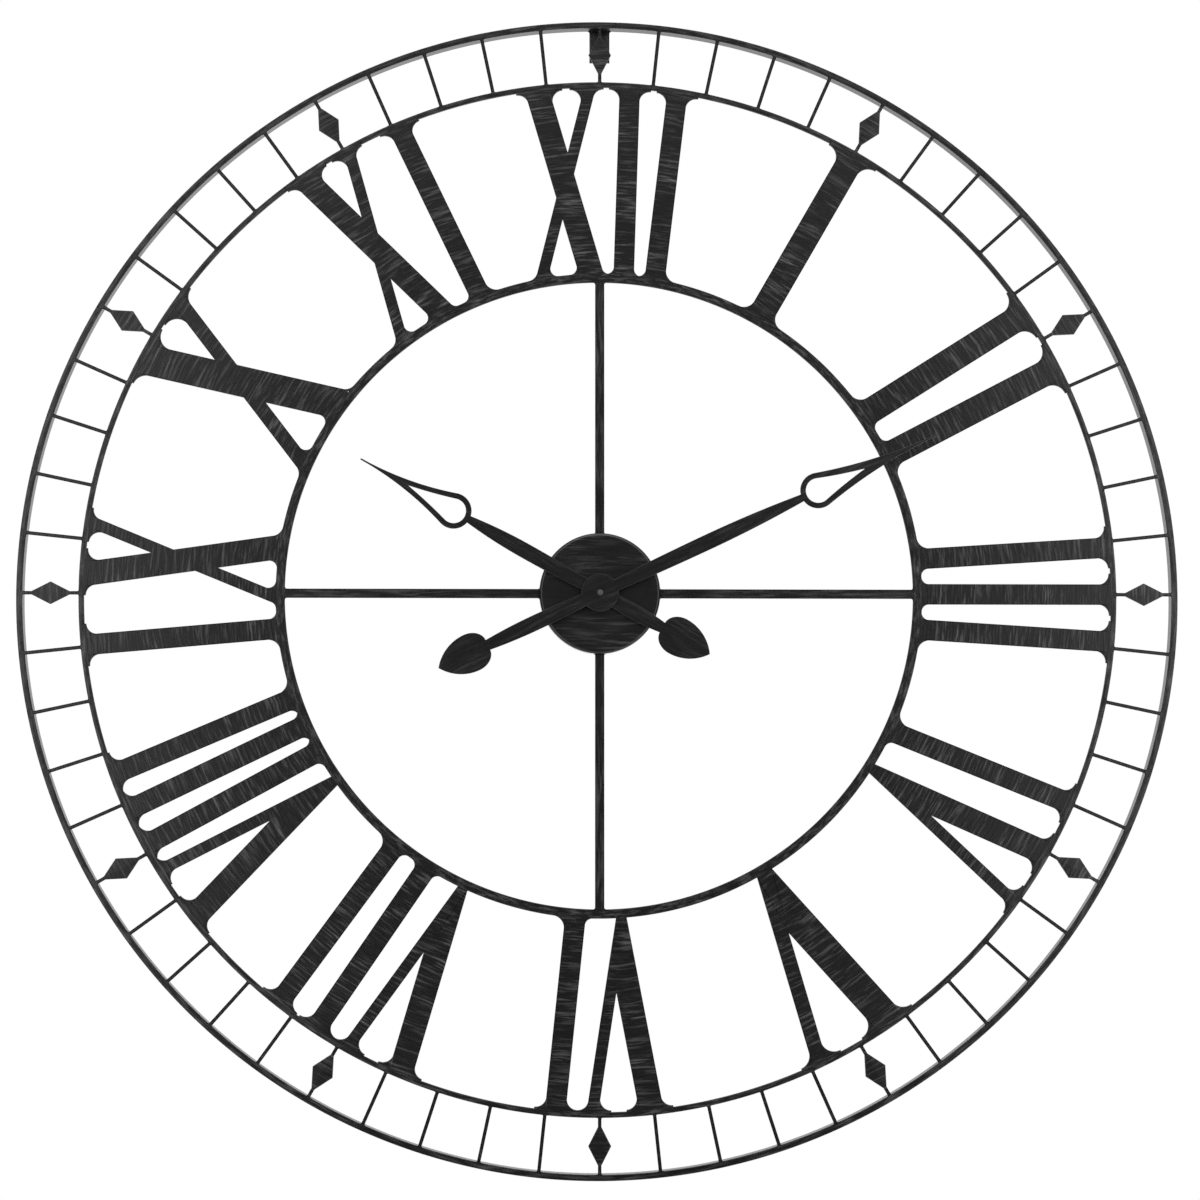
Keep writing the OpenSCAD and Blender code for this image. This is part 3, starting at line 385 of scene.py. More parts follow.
def flatRegion(shapes, loops, owner):                # keeps the triangles that owner() names
    verts, edges, faces, tags = [], [], [], []
    for tag, points in shapes:
        if signedArea(points) < 0:
            points = points[::-1]
        first = len(verts)
        verts += [p.copy() for p in points]
        faces.append(list(range(first, first + len(points))))
        tags.append(tag)
    for points in loops:
        first = len(verts)
        verts += [p.copy() for p in points]
        edges += [(first + i, first + (i + 1) % len(points)) for i in range(len(points))]
    flat, _, triangles, _, _, origins = geometry.delaunay_2d_cdt(verts, edges, faces, 0, 1e-4)
    flat = [Vector((v.x, v.y)) for v in flat]
    kept = []
    for corners, origin in zip(triangles, origins):
        middle = (flat[corners[0]] + flat[corners[1]] + flat[corners[2]]) / 3
        name = owner(middle, {tags[i] for i in origin})
        if name:
            kept.append((tuple(corners), name))
    return flat, kept


plateStyle = {
    "rounds": 3,             # steps of the rounded front edge
    "backEdge": 0.4,         # mm broken off the back edge
    "weld": 0.06,            # mm, points nearer than this are one
    "sliver": 0.01,          # mm, edges shorter than this go
    "mitre": 1.6,            # how far a corner's inset may outgrow its edges'
    "look": 3.2,             # how many rounding radii away a facing edge is looked for
    "share": 0.3,            # of a narrow neck that one rounding may take
}


def plates(region, front, back, edge):
    # Stands the region's triangles up as one closed plate for each name, rounded off along the
    # region's own outline and cut square where two plates meet.
    flat, kept = region
    bm = bmesh.new()                                 # welds points that lie too close to bevel
    points = [bm.verts.new((p.x, p.y, 0)) for p in flat]
    names = sorted({name for _, name in kept})
    for corners, name in kept:
        bm.faces.new([points[i] for i in corners]).material_index = names.index(name)
    loose = [v for v in bm.verts if not v.link_faces]
    bmesh.ops.delete(bm, geom=loose, context="VERTS")
    bmesh.ops.remove_doubles(bm, verts=bm.verts, dist=plateStyle["weld"])
    bmesh.ops.dissolve_degenerate(bm, edges=bm.edges, dist=plateStyle["sliver"])
    bmesh.ops.triangulate(bm, faces=bm.faces)
    for face in bm.faces:
        if face.normal.z < 0:
            face.normal_flip()
    bm.verts.index_update()
    outward = {}
    for e in bm.edges:
        if len(e.link_faces) == 1:
            loop = e.link_loops[0]
            a, b = loop.vert, loop.link_loop_next.vert
            n = Vector((b.co.y - a.co.y, a.co.x - b.co.x)).normalized()
            for v in (a, b):
                outward.setdefault(v.index, []).append(n)
    tree = kdtree.KDTree(len(outward))
    bm.verts.ensure_lookup_table()
    normals = {}
    for i, ns in outward.items():
        total = Vector((0, 0))
        for n in ns:
            total += n
        if total.length < 0.2:
            total = ns[0].copy()
        unit = total.normalized()
        normals[i] = (unit, 1 / max(0.45, min(unit.dot(n) for n in ns)))
        tree.insert(bm.verts[i].co, i)
    tree.balance()
    room = {}
    for i, (n, grow) in normals.items():             # keeps the rounding off clear of the far edge
        near = edge
        for _, j, far in tree.find_range(bm.verts[i].co, edge * plateStyle["look"]):
            if j != i and far > 1e-4 and normals[j][0].dot(n) < -0.2:
                near = min(near, far * plateStyle["share"])
        room[i] = near
    chains = {}
    for v in bm.verts:
        if v.index in normals:
            n, grow = normals[v.index]
            stretched = min(grow, plateStyle["mitre"])
            chain = []
            for k in range(plateStyle["rounds"] + 1):
                a = math.pi / 2 * k / plateStyle["rounds"]
                inset = room[v.index] * stretched * (1 - math.sin(a))
                drop = room[v.index] * (1 - math.cos(a))
                chain.append((v.co.x - n.x * inset, v.co.y - n.y * inset, front - drop))
            low = min(plateStyle["backEdge"], room[v.index])
            lowIn = low * stretched
            chain.append((v.co.x, v.co.y, back + low))
            chain.append((v.co.x - n.x * lowIn, v.co.y - n.y * lowIn, back))
        else:
            chain = [(v.co.x, v.co.y, front), (v.co.x, v.co.y, back)]
        chains[v.index] = chain
    made = {}
    for index, name in enumerate(names):
        mesh = bmesh.new()
        made3d = {}

        def corner(v, k):
            key = (v.index, k % len(chains[v.index]))
            if key not in made3d:
                x, z, depth = chains[v.index][key[1]]
                made3d[key] = mesh.verts.new((x * mm, -depth * mm, z * mm))
            return made3d[key]

        own = [f for f in bm.faces if f.material_index == index]
        for f in own:
            vs = [l.vert for l in f.loops]
            mesh.faces.new([corner(v, 0) for v in vs])
            mesh.faces.new([corner(v, -1) for v in reversed(vs)])
            for l in f.loops:
                a, b = l.vert, l.link_loop_next.vert
                others = [g for g in l.edge.link_faces if g is not f]
                if not others:
                    count = len(chains[a.index])
                    for k in range(count - 1):
                        quad = [corner(b, k), corner(a, k), corner(a, k + 1), corner(b, k + 1)]
                        side = mesh.faces.new(quad)
                        side.material_index = 1
                elif others[0].material_index != index:
                    ring = [corner(b, k) for k in range(len(chains[b.index]))]
                    ring = ring[:1] + [corner(a, k) for k in range(len(chains[a.index]))] + ring[:0:-1]
                    mesh.faces.new(ring).material_index = 1
        made[name] = mesh
    bm.free()
    return made


def pieceFrom(mesh, name, materials, body, stands=(), smooth=50):
    data = bpy.data.meshes.new(name)
    mesh.to_mesh(data)
    mesh.free()
    piece = bpy.data.objects.new(name, data)
    bpy.context.scene.collection.objects.link(piece)
    for material in materials:
        data.materials.append(material)
    data.polygons.foreach_set("use_smooth", [True] * len(data.polygons))
    data.set_sharp_from_angle(angle=math.radians(smooth))
    even = piece.modifiers.new("even", "WEIGHTED_NORMAL")
    even.keep_sharp = True
    even.weight = 80
    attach(piece, body)
    if stands:
        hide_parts(*stands)
    return piece


def circleLoop(r):
    count = dialStyle["steps"]
    return [clock(r, 360 * i / count) for i in range(count)]


print("dial plates")
dialShapes = []
for hour in range(1, 13):
    dialShapes += [("numeral_" + hourNames[hour - 1], s) for s in numeralShapes(hour)]
for i in range(60):
    bar = footedBar(dialStyle["tickWidth"], trackIn, 6 * i, trackOut, 6 * i,
                    [dialStyle["tickFillet"]] * 2, dialStyle["tickFillet"])
    dialShapes += [("hour_diamonds" if i % 5 == 0 else "minute_ticks", s) for s in bar]
    if i % 5 == 0:
        low, high = trackIn + dialStyle["diamondGap"], trackOut - dialStyle["diamondGap"]
        half = dialStyle["diamondWidth"] / 2
        rhomb = [Vector((0, low)), Vector((half, (low + high) / 2)), Vector((0, high)),
                 Vector((-half, (low + high) / 2))]
        dialShapes.append(("hour_diamonds", turnShape(rhomb, 6 * i)))
for angle, name in ((0, "spoke_top"), (90, "spoke_right"), (180, "spoke_bottom"), (270, "spoke_left")):
    bar = footedBar(dialStyle["spokeWidth"], hubRadius, angle, spokeOut, angle,
                    [dialStyle["spokeFillet"]] * 2, dialStyle["spokeFillet"])
    dialShapes += [(name, s) for s in bar]


def dialOwner(p, tags):
    r = p.length
    if trackOut < r < rimOut:
        return "rim_hoop"
    if numeralOut < r < trackIn:
        return "outer_dial_ring"
    if spokeOut < r < numeralIn:
        return "inner_dial_ring"
    band = (("hour_diamonds", "minute_ticks") if trackIn < r < trackOut else
            tuple("numeral_" + h for h in hourNames) if numeralIn < r < numeralOut else
            ("spoke_top", "spoke_right", "spoke_bottom", "spoke_left") if hubRadius < r < spokeOut else ())
    for name in band:
        if name in tags:
            return name
    return None


dialLoops = [circleLoop(r) for r in (rimOut, trackOut, trackIn, numeralOut, numeralIn, spokeOut, hubRadius)]
dialRegion = flatRegion(dialShapes, dialLoops, dialOwner)
dialMade = plates(dialRegion, dialFront, dialBack, dialStyle["edge"])
dialPaint = {"rim_hoop": paintRim, "outer_dial_ring": paintHoop, "inner_dial_ring": paintHoop,
             "minute_ticks": paintTick, "hour_diamonds": paintRound, "spoke_top": paintUpright,
             "spoke_bottom": paintUpright, "spoke_left": paintLevel, "spoke_right": paintLevel}
for name, mesh in dialMade.items():
    pieceFrom(mesh, name + "_painted", [dialPaint.get(name, paintRound), paintEdge], "frame",
              [name])
print("dial plates made:", len(dialMade))


def turned(profile, steps, centre=(0, 0), closed=True):
    # Turns points of (radius, depth from the wall, material) about an axis that stands on the wall.
    mesh = bmesh.new()
    rings = []
    for i in range(steps):
        a = 2 * math.pi * i / steps
        rings.append([mesh.verts.new(((centre[0] + r * math.sin(a)) * mm, -d * mm,
                                      (centre[1] + r * math.cos(a)) * mm)) for r, d, _ in profile])
    count = len(profile)
    for i in range(steps):
        j = (i + 1) % steps
        for k in range(count if closed else count - 1):
            n = (k + 1) % count
            face = mesh.faces.new([rings[i][k], rings[j][k], rings[j][n], rings[i][n]])
            face.material_index = profile[k][2]
    bmesh.ops.recalc_face_normals(mesh, faces=mesh.faces)
    return mesh


def roundCorner(r, d, radius, a0, a1, index, count=4):  # an arc of a profile about (r, d)
    return [(r + radius * math.cos(math.radians(a0 + (a1 - a0) * i / count)),
             d + radius * math.sin(math.radians(a0 + (a1 - a0) * i / count)), index)
            for i in range(count + 1)]


print("rim and hub")
edge = 0.5                   # mm
lap = 0.35                   # mm that the skirt reaches up into the front hoop
rimProfile = ([(trackOut, dialBack + lap, 0), (rimOut, dialBack + lap, 0)]
              + roundCorner(rimOut - edge, rimBack + edge, edge, 0, -90, 1)
              + roundCorner(trackOut + edge, rimBack + edge, edge, -90, -180, 1))
pieceFrom(turned(rimProfile, dialStyle["steps"]), "rim_skirt_painted", [paintRim, paintEdge], "frame",
          ["rim_hoop"])

hubBack, hubFront = depths("hub_cup")
hubStyle = {                                         # mm
    "sheet": 2.0,
    "bend": 3.0,             # outer radius where the sheet turns back
    "hole": 4.05,
    "edge": 0.4,
}
sheet, bend, small = (hubStyle[key] for key in ("sheet", "bend", "edge"))
hubProfile = (roundCorner(hubStyle["hole"] + small, hubFront - small, small, 180, 90, 0, 2)
              + roundCorner(hubRadius - bend, hubFront - bend, bend, 90, 0, 0, 8)
              + roundCorner(hubRadius - small, hubBack + small, small, 0, -90, 1, 2)
              + roundCorner(hubRadius - sheet + small, hubBack + small, small, -90, -180, 1, 2)
              + roundCorner(hubRadius - bend, hubFront - bend, bend - sheet, 0, 90, 1, 4)
              + [(hubStyle["hole"], hubFront - sheet, 1)])
pieceFrom(turned(hubProfile, 180), "hub_cup_painted", [paintHub, paintEdge], "frame",
          ["hub_cup"])


handStyle = {                                        # mm
    "edge": 0.45,
    "loop": 18.5,            # radius of the pierced drop's round end
    "bar": 5.8,              # width of the bar that draws the drop
    "root": 5.6,             # half widths of the swelling bars, root to neck
    "belly": 8.0,
    "neck": 3.8,
    "tailNeck": 5.4,
    "leaf": 19.9,            # half width of the tail's leaf
    "leafPoint": 37.5,       # from its widest place to its point
    "leafShoulder": 18.5,    # and to its root
    "point": 0.8,            # half width of the tip
    "boss": 19.4,            # radius of the disc round the arbor
    "opening": 53.5,         # length of the drop's opening from the middle of its round end
    "openingArc": 500.0,     # radius of the opening's sides
}


def swellBar(y0, root, ym, belly, y1, neck):
    steps = 24
    right = []
    for i in range(steps + 1):
        y = y0 + (y1 - y0) * i / steps
        w = (belly - (belly - root) * ((ym - y) / (ym - y0)) ** 2 if y < ym else
             belly - (belly - neck) * ((y - ym) / (y1 - ym)) ** 2)
        right.append(Vector((w, y)))
    return right + [Vector((-p.x, p.y)) for p in reversed(right)]


def dropShape(r, y, w, c):                           # a round head with sides that hollow in to a point
    rc = c.length - r
    a0, a1 = math.atan2(-c.y, -c.x), math.atan2(y - c.y, w - c.x)
    turn = (a1 - a0 + 3 * math.pi) % (2 * math.pi) - math.pi
    side = [c + Vector((math.cos(a0 + turn * i / 24), math.sin(a0 + turn * i / 24))) * rc
            for i in range(1, 25)]
    start = math.atan2(c.y, c.x)
    head = [Vector((math.cos(-math.pi / 2 + (start + math.pi / 2) * i / 28),
                    math.sin(-math.pi / 2 + (start + math.pi / 2) * i / 28))) * r for i in range(29)]
    right = head + side
    left = [Vector((-p.x, p.y)) for p in reversed(right[1:])]
    if w <= 0:
        left = left[1:]
    return right + left


def leafShape():
    s = handStyle
    half, point = s["leaf"], s["leafPoint"]
    lowerR = (half * half + point * point) / (2 * half)
    sweep = math.asin(point / lowerR)
    right = []
    for i in range(20):
        a = sweep * (20 - i) / 20
        right.append(Vector((half - lowerR + lowerR * math.cos(a), point - lowerR * math.sin(a))))
    for i in range(15):
        a = math.pi / 2 * i / 14
        right.append(Vector((s["tailNeck"] + (half - s["tailNeck"]) * math.cos(a),
                             point + s["leafShoulder"] * math.sin(a))))
    return right + [Vector((-p.x, p.y)) for p in reversed(right[1:])]


def moved(points, dy, flip=False):
    return [Vector((-p.x if flip else p.x, (-p.y if flip else p.y) + dy)) for p in points]


handSizes = {                                        # mm from the arbor, degrees of the dial
    "minute_hand": {"length": 388.0, "loopAt": 248.5, "tail": 183.0, "bellyAt": 125.0,
                    "tailBellyAt": 75.0, "angle": 64.8, "bore": 2.85},
    "hour_hand": {"length": 282.5, "loopAt": 172.7, "tail": 129.3, "bellyAt": 88.0,
                  "tailBellyAt": 40.0, "angle": 299.2, "bore": 3.75},
}


def handShapes(size):
    s = handStyle
    r, hole, loopY, tail = s["loop"], s["loop"] - s["bar"], size["loopAt"], size["tail"]
    y = size["length"] - loopY
    rc = (y * y + s["point"] ** 2 - r * r) / (2 * (r - s["point"]))
    outer = Vector((s["point"] + rc, y))
    holeY, arc = s["opening"], s["openingArc"]
    cy = (holeY * holeY + 2 * arc * hole + hole * hole) / (2 * holeY)
    inner = Vector((math.sqrt((arc + hole) ** 2 - cy * cy), cy))
    shapes = [
        ("solid", [clock(s["boss"], 360 * i / 96) for i in range(96)]),
        ("solid", swellBar(0, s["root"], size["bellyAt"], s["belly"], loopY - r + 1, s["neck"])),
        ("loop", moved(dropShape(r, y, s["point"], outer), loopY)),
        ("opening", moved(dropShape(hole, holeY, 0, inner), loopY)),
        ("solid", moved(swellBar(0, s["root"], size["tailBellyAt"], s["belly"],
                                 tail - s["leafPoint"] - s["leafShoulder"] + 2, s["tailNeck"]), 0, True)),
        ("solid", moved(leafShape(), -tail)),
    ]
    return [(tag, turnShape(p, size["angle"])) for tag, p in shapes]


def makeHand(node, material):                        # each hand's body has its node's name
    back, front = depths(node)
    size = handSizes[node]
    bore = [clock(size["bore"], 360 * i / 48) for i in range(48)]

    def owner(p, tags):
        if p.length < size["bore"] - 0.01:
            return None
        return node if "solid" in tags or ("loop" in tags and "opening" not in tags) else None

    region = flatRegion(handShapes(size), [bore], owner)
    mesh = plates(region, front, back, handStyle["edge"])[node]
    return pieceFrom(mesh, node + "_painted", [material, paintEdge], node, [node])


print("hands")
paintMinute = makeBrushedPaint("stovePaintMinuteHand", turn=handSizes["minute_hand"]["angle"],
                               amount=0.13, cover=0.45, shift=5.0)
paintHour = makeBrushedPaint("stovePaintHourHand", turn=handSizes["hour_hand"]["angle"],
                             amount=0.13, cover=0.45, shift=6.0)
makeHand("minute_hand", paintMinute)
makeHand("hour_hand", paintHour)


print("movement")
# Spark-textured ABS mould: a fine even grain that kills the shine.
caseBlack = makePlain("absCaseMoulded", "#101113", "#1d1e20", 0.55, grain=0.45, bump=0.35)
# Acetal is waxy and milky, and brass off the lathe shines in fine rings.
acetal = makePlain("acetalMoulded", "#cfccc0", "#e6e3d8", 0.4, grain=1.4)
brassTurned = makePlain("brassTurned", "#a9803a", "#d4ad62", 0.28, metallic=1.0, grain=0.67,
                        stretch=(1, 8, 1))
# Nickel plate is bright and a little warm; annealed iron laminations are grey and dull.
nickelSteel = makePlain("steelNickelPlated", "#8f9296", "#c3c6ca", 0.3, metallic=1.0, grain=0.83)
softIron = makePlain("ironStampedAnnealed", "#5f6164", "#8b8d90", 0.45, metallic=1.0, grain=1.1)
# Moulded rubber is dull, solder resist glossy over its board, and chip epoxy fine and matt.
rubber = makePlain("rubberMoulded", "#111111", "#1c1c1c", 0.75, grain=0.62, bump=0.4)
boardResin = makePlain("boardSolderResist", "#0d3a20", "#15552f", 0.3, grain=2)
chipResin = makePlain("chipEpoxy", "#0d0d0d", "#191919", 0.5, grain=0.71)
# Enamelled wire shows its turns as fine bright lines, and the cell's shrunk film is smooth.
copperWire = makePlain("copperEnamelled", "#8a3f1d", "#c0683a", 0.3, metallic=1.0, grain=0.38,
                       stretch=(6, 1, 1), bump=0.6)
cellSleeve = makePlain("batteryFilmSleeve", "#123a6b", "#1a4a83", 0.25, grain=3.3, bump=0.05)
# Brass blackened in a bath, rubbed a little bright on its face.
collarBlack = makePlain("brassBlackened", "#48484b", "#66666a", 0.38, metallic=0.8, grain=1.1)

slotLook = {"case_plastic": caseBlack, "wheel_plastic": acetal, "brass": brassTurned,
            "plated_steel": nickelSteel, "soft_iron": softIron, "rubber": rubber,
            "board_resin": boardResin, "chip_resin": chipResin, "enamelled_copper": copperWire,
            "battery_jacket": cellSleeve, "painted_steel": paintUpright, "painted_hand": paintEdge}
nodeLook = {"minute_collet": collarBlack, "minute_arbor": collarBlack}
slotOf = {p["node"]: p["material_slot"] for p in frame["record"]["subparts"]}
softened = {                                         # mm broken off the edges of these CAD nodes
    "movement_case": 0.4, "movement_cover": 0.35, "setting_knob": 0.25, "hanger_plate": 0.3,
    "bush_nut": 0.25,
}
for name, node in cadNodes.items():
    look = nodeLook.get(name, slotLook[slotOf[name]])
    node.data.materials.clear()
    node.data.materials.append(look)
    if name in softened:
        broken = node.modifiers.new("softened", "BEVEL")
        broken.width = softened[name] * mm
        broken.segments = 2
        broken.limit_method = "ANGLE"
        broken.angle_limit = math.radians(40)
        broken.use_clamp_overlap = True


print("small parts")


def layAlongX(mesh, depth, height):                  # lays a turned piece down, its depth along x
    for v in mesh.verts:
        v.co = Vector((-v.co.y, v.co.x - depth * mm, v.co.z + height * mm))
    bmesh.ops.recalc_face_normals(mesh, faces=mesh.faces)
    return mesh


def facingWall(mesh, base):                          # turns a plate made from 0 to its thickness round
    for v in mesh.verts:
        v.co.y = -base * mm - v.co.y
    bmesh.ops.reverse_faces(mesh, faces=mesh.faces)
    return mesh


cellLow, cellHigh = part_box("battery")
cellStyle = {                                        # mm
    "crimp": 0.8,            # radius of the can's rolled ends
    "button": 2.75,
    "buttonLength": 1.4,
    "recess": 0.3,           # how deep the end plates lie
    "plate": 5.2,
    "lip": 0.2,              # where the film ends over the crimp
    "ring": 0.9,             # bare metal round the button
    "soft": 0.3,
    "tip": 0.01,             # leaves the lathe a hole too small to see
}
cellRadius = (cellHigh.z - cellLow.z) / 2 / mm
cellEnds = cellLow.x / mm, cellHigh.x / mm
crimp, button, buttonLength, recess, plate, lip, ring, soft, tip = (
    cellStyle[key] for key in ("crimp", "button", "buttonLength", "recess", "plate", "lip", "ring",
                               "soft", "tip"))
shoulder = cellEnds[1] - buttonLength
cellProfile = ([(tip, cellEnds[0] + recess, 1), (plate, cellEnds[0] + recess, 1),
                (plate + lip, cellEnds[0] + lip / 2, 0)]
               + roundCorner(cellRadius - crimp, cellEnds[0] + crimp, crimp, -90, 0, 0, 6)
               + roundCorner(cellRadius - crimp, shoulder - crimp, crimp, 0, 90, 0, 6)
               + [(plate + lip, shoulder - lip / 2, 2), (plate, shoulder - recess, 2),
                  (button + ring, shoulder - recess, 1)]
               + roundCorner(button - soft, cellEnds[1] - soft, soft, 0, 90, 1, 4)
               + [(tip, cellEnds[1], 1)])
cellMesh = layAlongX(turned(cellProfile, 64), -(cellLow.y + cellHigh.y) / 2 / mm,
                     (cellLow.z + cellHigh.z) / 2 / mm)
pieceFrom(cellMesh, "battery_wrapped", [cellSleeve, nickelSteel, rubber], "battery",
          ["battery"])


screwStyle = {
    "radius": 1.7,           # mm, of the head
    "shank": 0.9,
    "soft": 0.3,             # rounding of the head and the tip
    "deep": 0.5,             # depth of the cross
    "arm": 0.62,             # the cross's reach and half width, as shares of the head's radius
    "half": 0.17,
    "tip": 0.01,
}


def crossHeadScrews(node, places, height, depthBack, depthFront):
    # Pan heads on the wall side, each with a sunk cross and a plain shank behind it.
    radius, shank, soft, deep, arm, half, tip = (
        screwStyle[key] for key in ("radius", "shank", "soft", "deep", "arm", "half", "tip"))
    cross = [Vector((x, y)) * radius for x, y in (
        (half, half), (half, arm), (-half, arm), (-half, half), (-arm, half), (-arm, -half),
        (-half, -half), (-half, -arm), (half, -arm), (half, -half), (arm, -half), (arm, half))]
    whole = bmesh.new()
    for x, z in places:
        disc = [clock(radius, 360 * i / 48) for i in range(48)]
        region = flatRegion([("head", disc), ("cross", cross)], [],
                            lambda p, tags: "head" if "cross" not in tags else None)
        top = facingWall(plates(region, deep, 0, soft)["head"], depthBack + deep)
        base = turned([(tip, depthBack + deep, 0), (radius, depthBack + deep, 0),
                       (radius, depthBack + height, 0), (shank, depthBack + height, 0),
                       (shank, depthFront - soft, 0), (shank - soft, depthFront, 0),
                       (tip, depthFront, 0)], 32)
        for part in (top, base):
            spare = bpy.data.meshes.new("spare")
            bmesh.ops.translate(part, verts=part.verts, vec=(x * mm, 0, z * mm))
            part.to_mesh(spare)
            part.free()
            whole.from_mesh(spare)
            bpy.data.meshes.remove(spare)
    for face in whole.faces:
        face.material_index = 0
    pieceFrom(whole, node + "_turned", [nickelSteel], "frame", [node], smooth=35)


def screwPlaces(node):                               # one screw stands in each corner of its node's box
    low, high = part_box(node)
    middle = (low + high) / 2
    corners = {}
    for v in cadNodes[node].data.vertices:
        corners.setdefault((v.co.x > middle.x, v.co.z > middle.z), []).append(v.co / mm)
    return [((min(c.x for c in cs) + max(c.x for c in cs)) / 2,
             (min(c.z for c in cs) + max(c.z for c in cs)) / 2) for cs in corners.values()]


for node, height in (("cover_screws", 1.0), ("plate_screws", 0.9)):
    back, front = depths(node)
    crossHeadScrews(node, screwPlaces(node), height, back, front)

bushLow, bushHigh = depths("mounting_bush")
threadStyle = {                                      # mm
    "radius": 4.0,
    "deep": 0.35,
    "pitch": 0.75,
    "flange": 4.6,
    "flangeHeight": 0.6,
    "runOut": 0.2,           # plain length at each end of the thread
    "wall": 0.3,             # least metal left between thread and bore
}
root = threadStyle["radius"] - threadStyle["deep"]
flangeTop = bushLow + threadStyle["flangeHeight"]
threadStart = flangeTop + threadStyle["runOut"]
turns = int((bushHigh - threadStart - threadStyle["runOut"]) / threadStyle["pitch"])
flanks = [(root if k % 2 == 0 else threadStyle["radius"], threadStart + k * threadStyle["pitch"] / 2, 0)
          for k in range(2 * turns + 1)]
bore = min(radii("mounting_bush")[0], root - threadStyle["wall"])
flange = threadStyle["flange"]
bushProfile = ([(bore, bushLow, 0), (flange, bushLow, 0), (flange, flangeTop, 0)] + flanks
               + [(root, bushHigh, 0), (bore, bushHigh, 0)])
pieceFrom(turned(bushProfile, 72), "mounting_bush_threaded", [brassTurned], "frame",
          ["mounting_bush"], smooth=25)


print("studio")
studio = {
    "floor": ((-2.5, -2.2), (2.5, 1.2)),  # m, two corners as x and y
    "floorDrop": 0.60,       # m from the clock's lowest point to the floor
    "front": 0.02,           # the dim space straight in front of the clock
    "sides": 2.3,            # the pale walls and ceiling round that space
    "flatter": 0.66,         # how little the ceiling counts beside the walls
    "dimWay": (0.026, 0.071),  # where the middle of the dim space lies, as x and z of its direction
    "dimTo": 0.13,           # how far from there it stays dim
    "paleFrom": 0.28,        # and where the pale walls have fully begun
    "fadeFrom": 0.45,        # where they begin to darken again
    "fadeTo": 0.75,
    "far": 0.05,             # what is left of them at right angles to the view
    "behind": 1.7,           # the white wall that it hangs on, lit from behind the clock
    "wallFrom": 0.45,        # y of the direction where the wall begins, and where it is full
    "wallTo": 0.70,
}
lowest = cadBox[0].z
floorMesh = bmesh.new()
(floorX0, floorY0), (floorX1, floorY1) = studio["floor"]
corners = [(floorX0, floorY0), (floorX1, floorY0), (floorX1, floorY1), (floorX0, floorY1)]
floorMesh.faces.new([floorMesh.verts.new((x, y, lowest - studio["floorDrop"])) for x, y in corners])
floorData = bpy.data.meshes.new("floor")
floorMesh.to_mesh(floorData)
floorMesh.free()
floor = bpy.data.objects.new("floor", floorData)
bpy.context.scene.collection.objects.link(floor)
floorData.materials.append(makePlain("floorPale", "#e9e8e6", "#ecebe9", 0.7, grain=17))

world = bpy.data.worlds.new("studio")
bpy.context.scene.world = world
world.use_nodes = True
tree = world.node_tree
tree.nodes.clear()
way = put(tree, "TexCoord")
apart = put(tree, "SeparateXYZ", {}, {"Vector": way.outputs["Generated"]})
aside = put(tree, "Math", {"operation": "SUBTRACT", 1: studio["dimWay"][0]}, {0: apart.outputs["X"]})
above = put(tree, "Math", {"operation": "SUBTRACT", 1: studio["dimWay"][1]}, {0: apart.outputs["Z"]})
above = put(tree, "Math", {"operation": "MAXIMUM", 1: 0.0}, {0: above.outputs[0]})
above = put(tree, "Math", {"operation": "MULTIPLY", 1: studio["flatter"]}, {0: above.outputs[0]})
off = put(tree, "CombineXYZ", {}, {"X": aside.outputs[0], "Y": above.outputs[0]})
off = put(tree, "VectorMath", {"operation": "LENGTH"}, {0: off.outputs[0]})
walls = put(tree, "MapRange", {"interpolation_type": "SMOOTHSTEP", "From Min": studio["dimTo"],
                               "From Max": studio["paleFrom"], "To Min": studio["front"],
                               "To Max": studio["sides"]}, {"Value": off.outputs["Value"]})
fade = put(tree, "MapRange", {"From Min": studio["fadeFrom"], "From Max": studio["fadeTo"],
                              "To Min": 1.0, "To Max": studio["far"]}, {"Value": off.outputs["Value"]})
ahead = put(tree, "Math", {"operation": "MULTIPLY"}, {0: walls.outputs[0], 1: fade.outputs[0]})
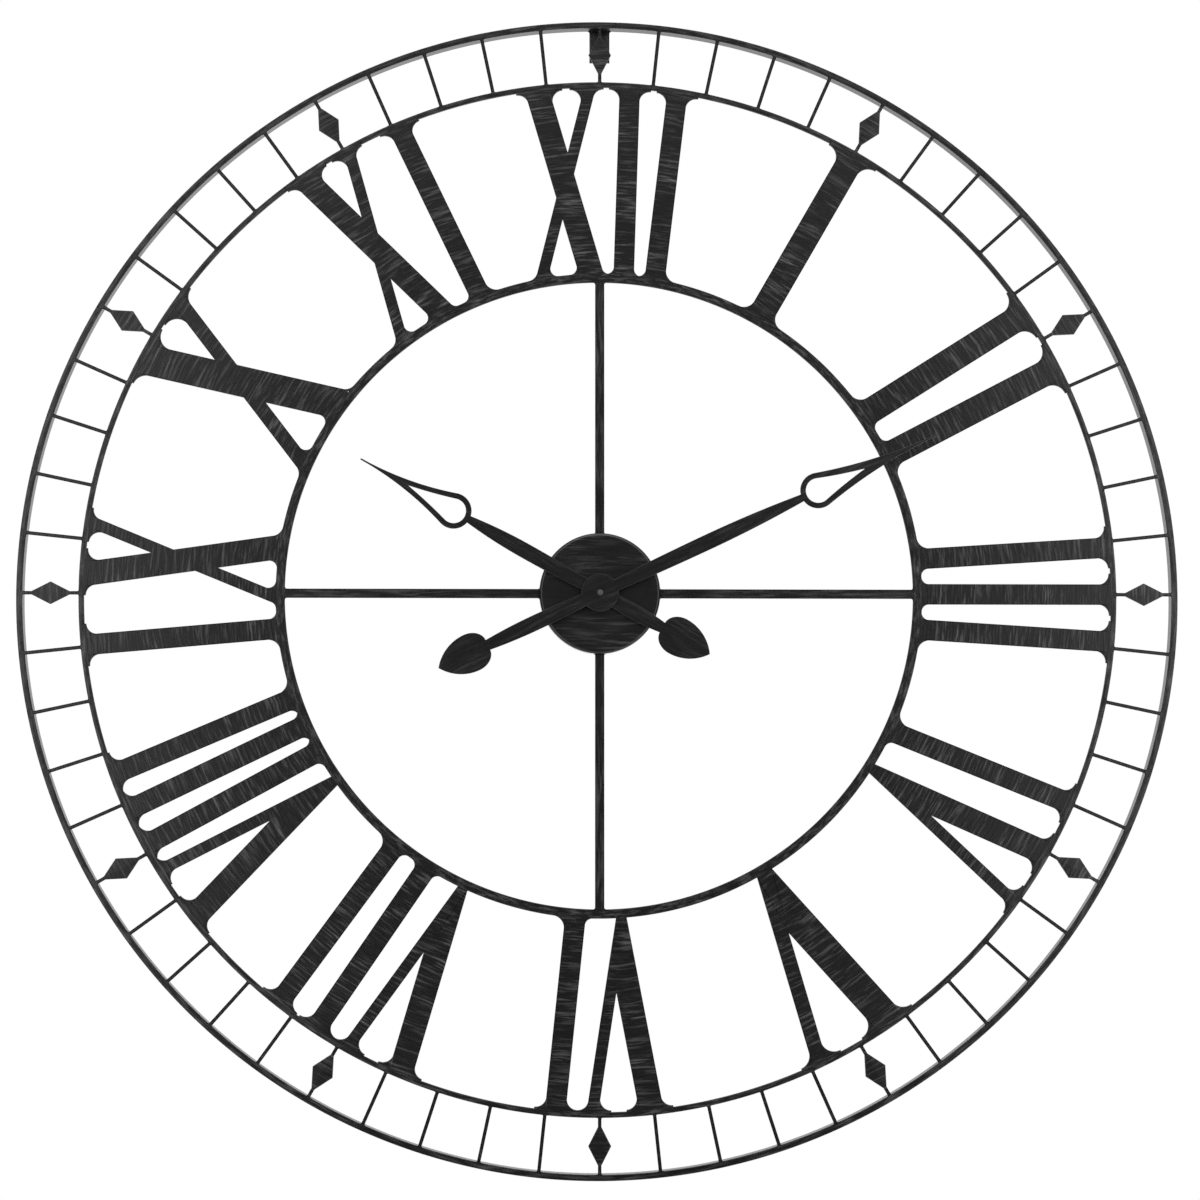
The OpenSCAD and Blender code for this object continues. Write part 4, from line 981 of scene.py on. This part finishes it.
wall = put(tree, "MapRange", {"From Min": studio["wallFrom"], "From Max": studio["wallTo"]},
           {"Value": apart.outputs["Y"]})
glow = put(tree, "Mix", {"data_type": "FLOAT", 3: studio["behind"]},
           {0: wall.outputs[0], 2: ahead.outputs[0]})
room = put(tree, "Background", {"Color": (1, 1, 1, 1)}, {"Strength": glow.outputs[0]})
seen = put(tree, "Background", {"Color": (1, 1, 1, 1), "Strength": 1.0})
ray = put(tree, "LightPath")
both = put(tree, "MixShader", {}, {0: ray.outputs["Is Camera Ray"], 1: room.outputs[0], 2: seen.outputs[0]})
put(tree, "OutputWorld", {}, {"Surface": both.outputs[0]})

lamps = {                                            # place, size in m, watts
    "leftSoftbox": ((-2.6, -2.2, 1.0), 1.6, 4.0),
    "rightSoftbox": ((2.8, -1.9, 0.2), 1.4, 3.0),
    "topSoftbox": ((0.0, -1.4, 2.6), 1.4, 3.0),
    "rearSoftbox": ((1.2, 2.4, -1.6), 1.6, 18.0),
}
for name, (place, size, watts) in lamps.items():
    lamp = bpy.data.lights.new(name, "AREA")
    lamp.size = size
    lamp.energy = watts
    holder = bpy.data.objects.new(name, lamp)
    holder.location = place
    holder.rotation_euler = (Vector((0, 0, 0)) - Vector(place)).to_track_quat("-Z", "Y").to_euler()
    bpy.context.scene.collection.objects.link(holder)

view = {
    "lens": 90,              # mm on a 36 mm frame
    "shift": (0.00023, -0.00527),
    "aim": (0, -0.015, 0),   # m, the hub's face
    "stand": (-0.0795, -3.0892, -0.2204),  # m from there to the lens
}
lens = bpy.data.cameras.new("camera")
lens.lens = view["lens"]
lens.sensor_width = 36
lens.shift_x, lens.shift_y = view["shift"]
lens.clip_end = 50
camera = bpy.data.objects.new("camera", lens)
hubPoint = Vector(view["aim"])
camera.location = hubPoint + Vector(view["stand"])
camera.rotation_euler = (hubPoint - camera.location).to_track_quat("-Z", "Y").to_euler()
bpy.context.scene.collection.objects.link(camera)
bpy.context.scene.camera = camera
bpy.context.scene.view_settings.view_transform = "Standard"
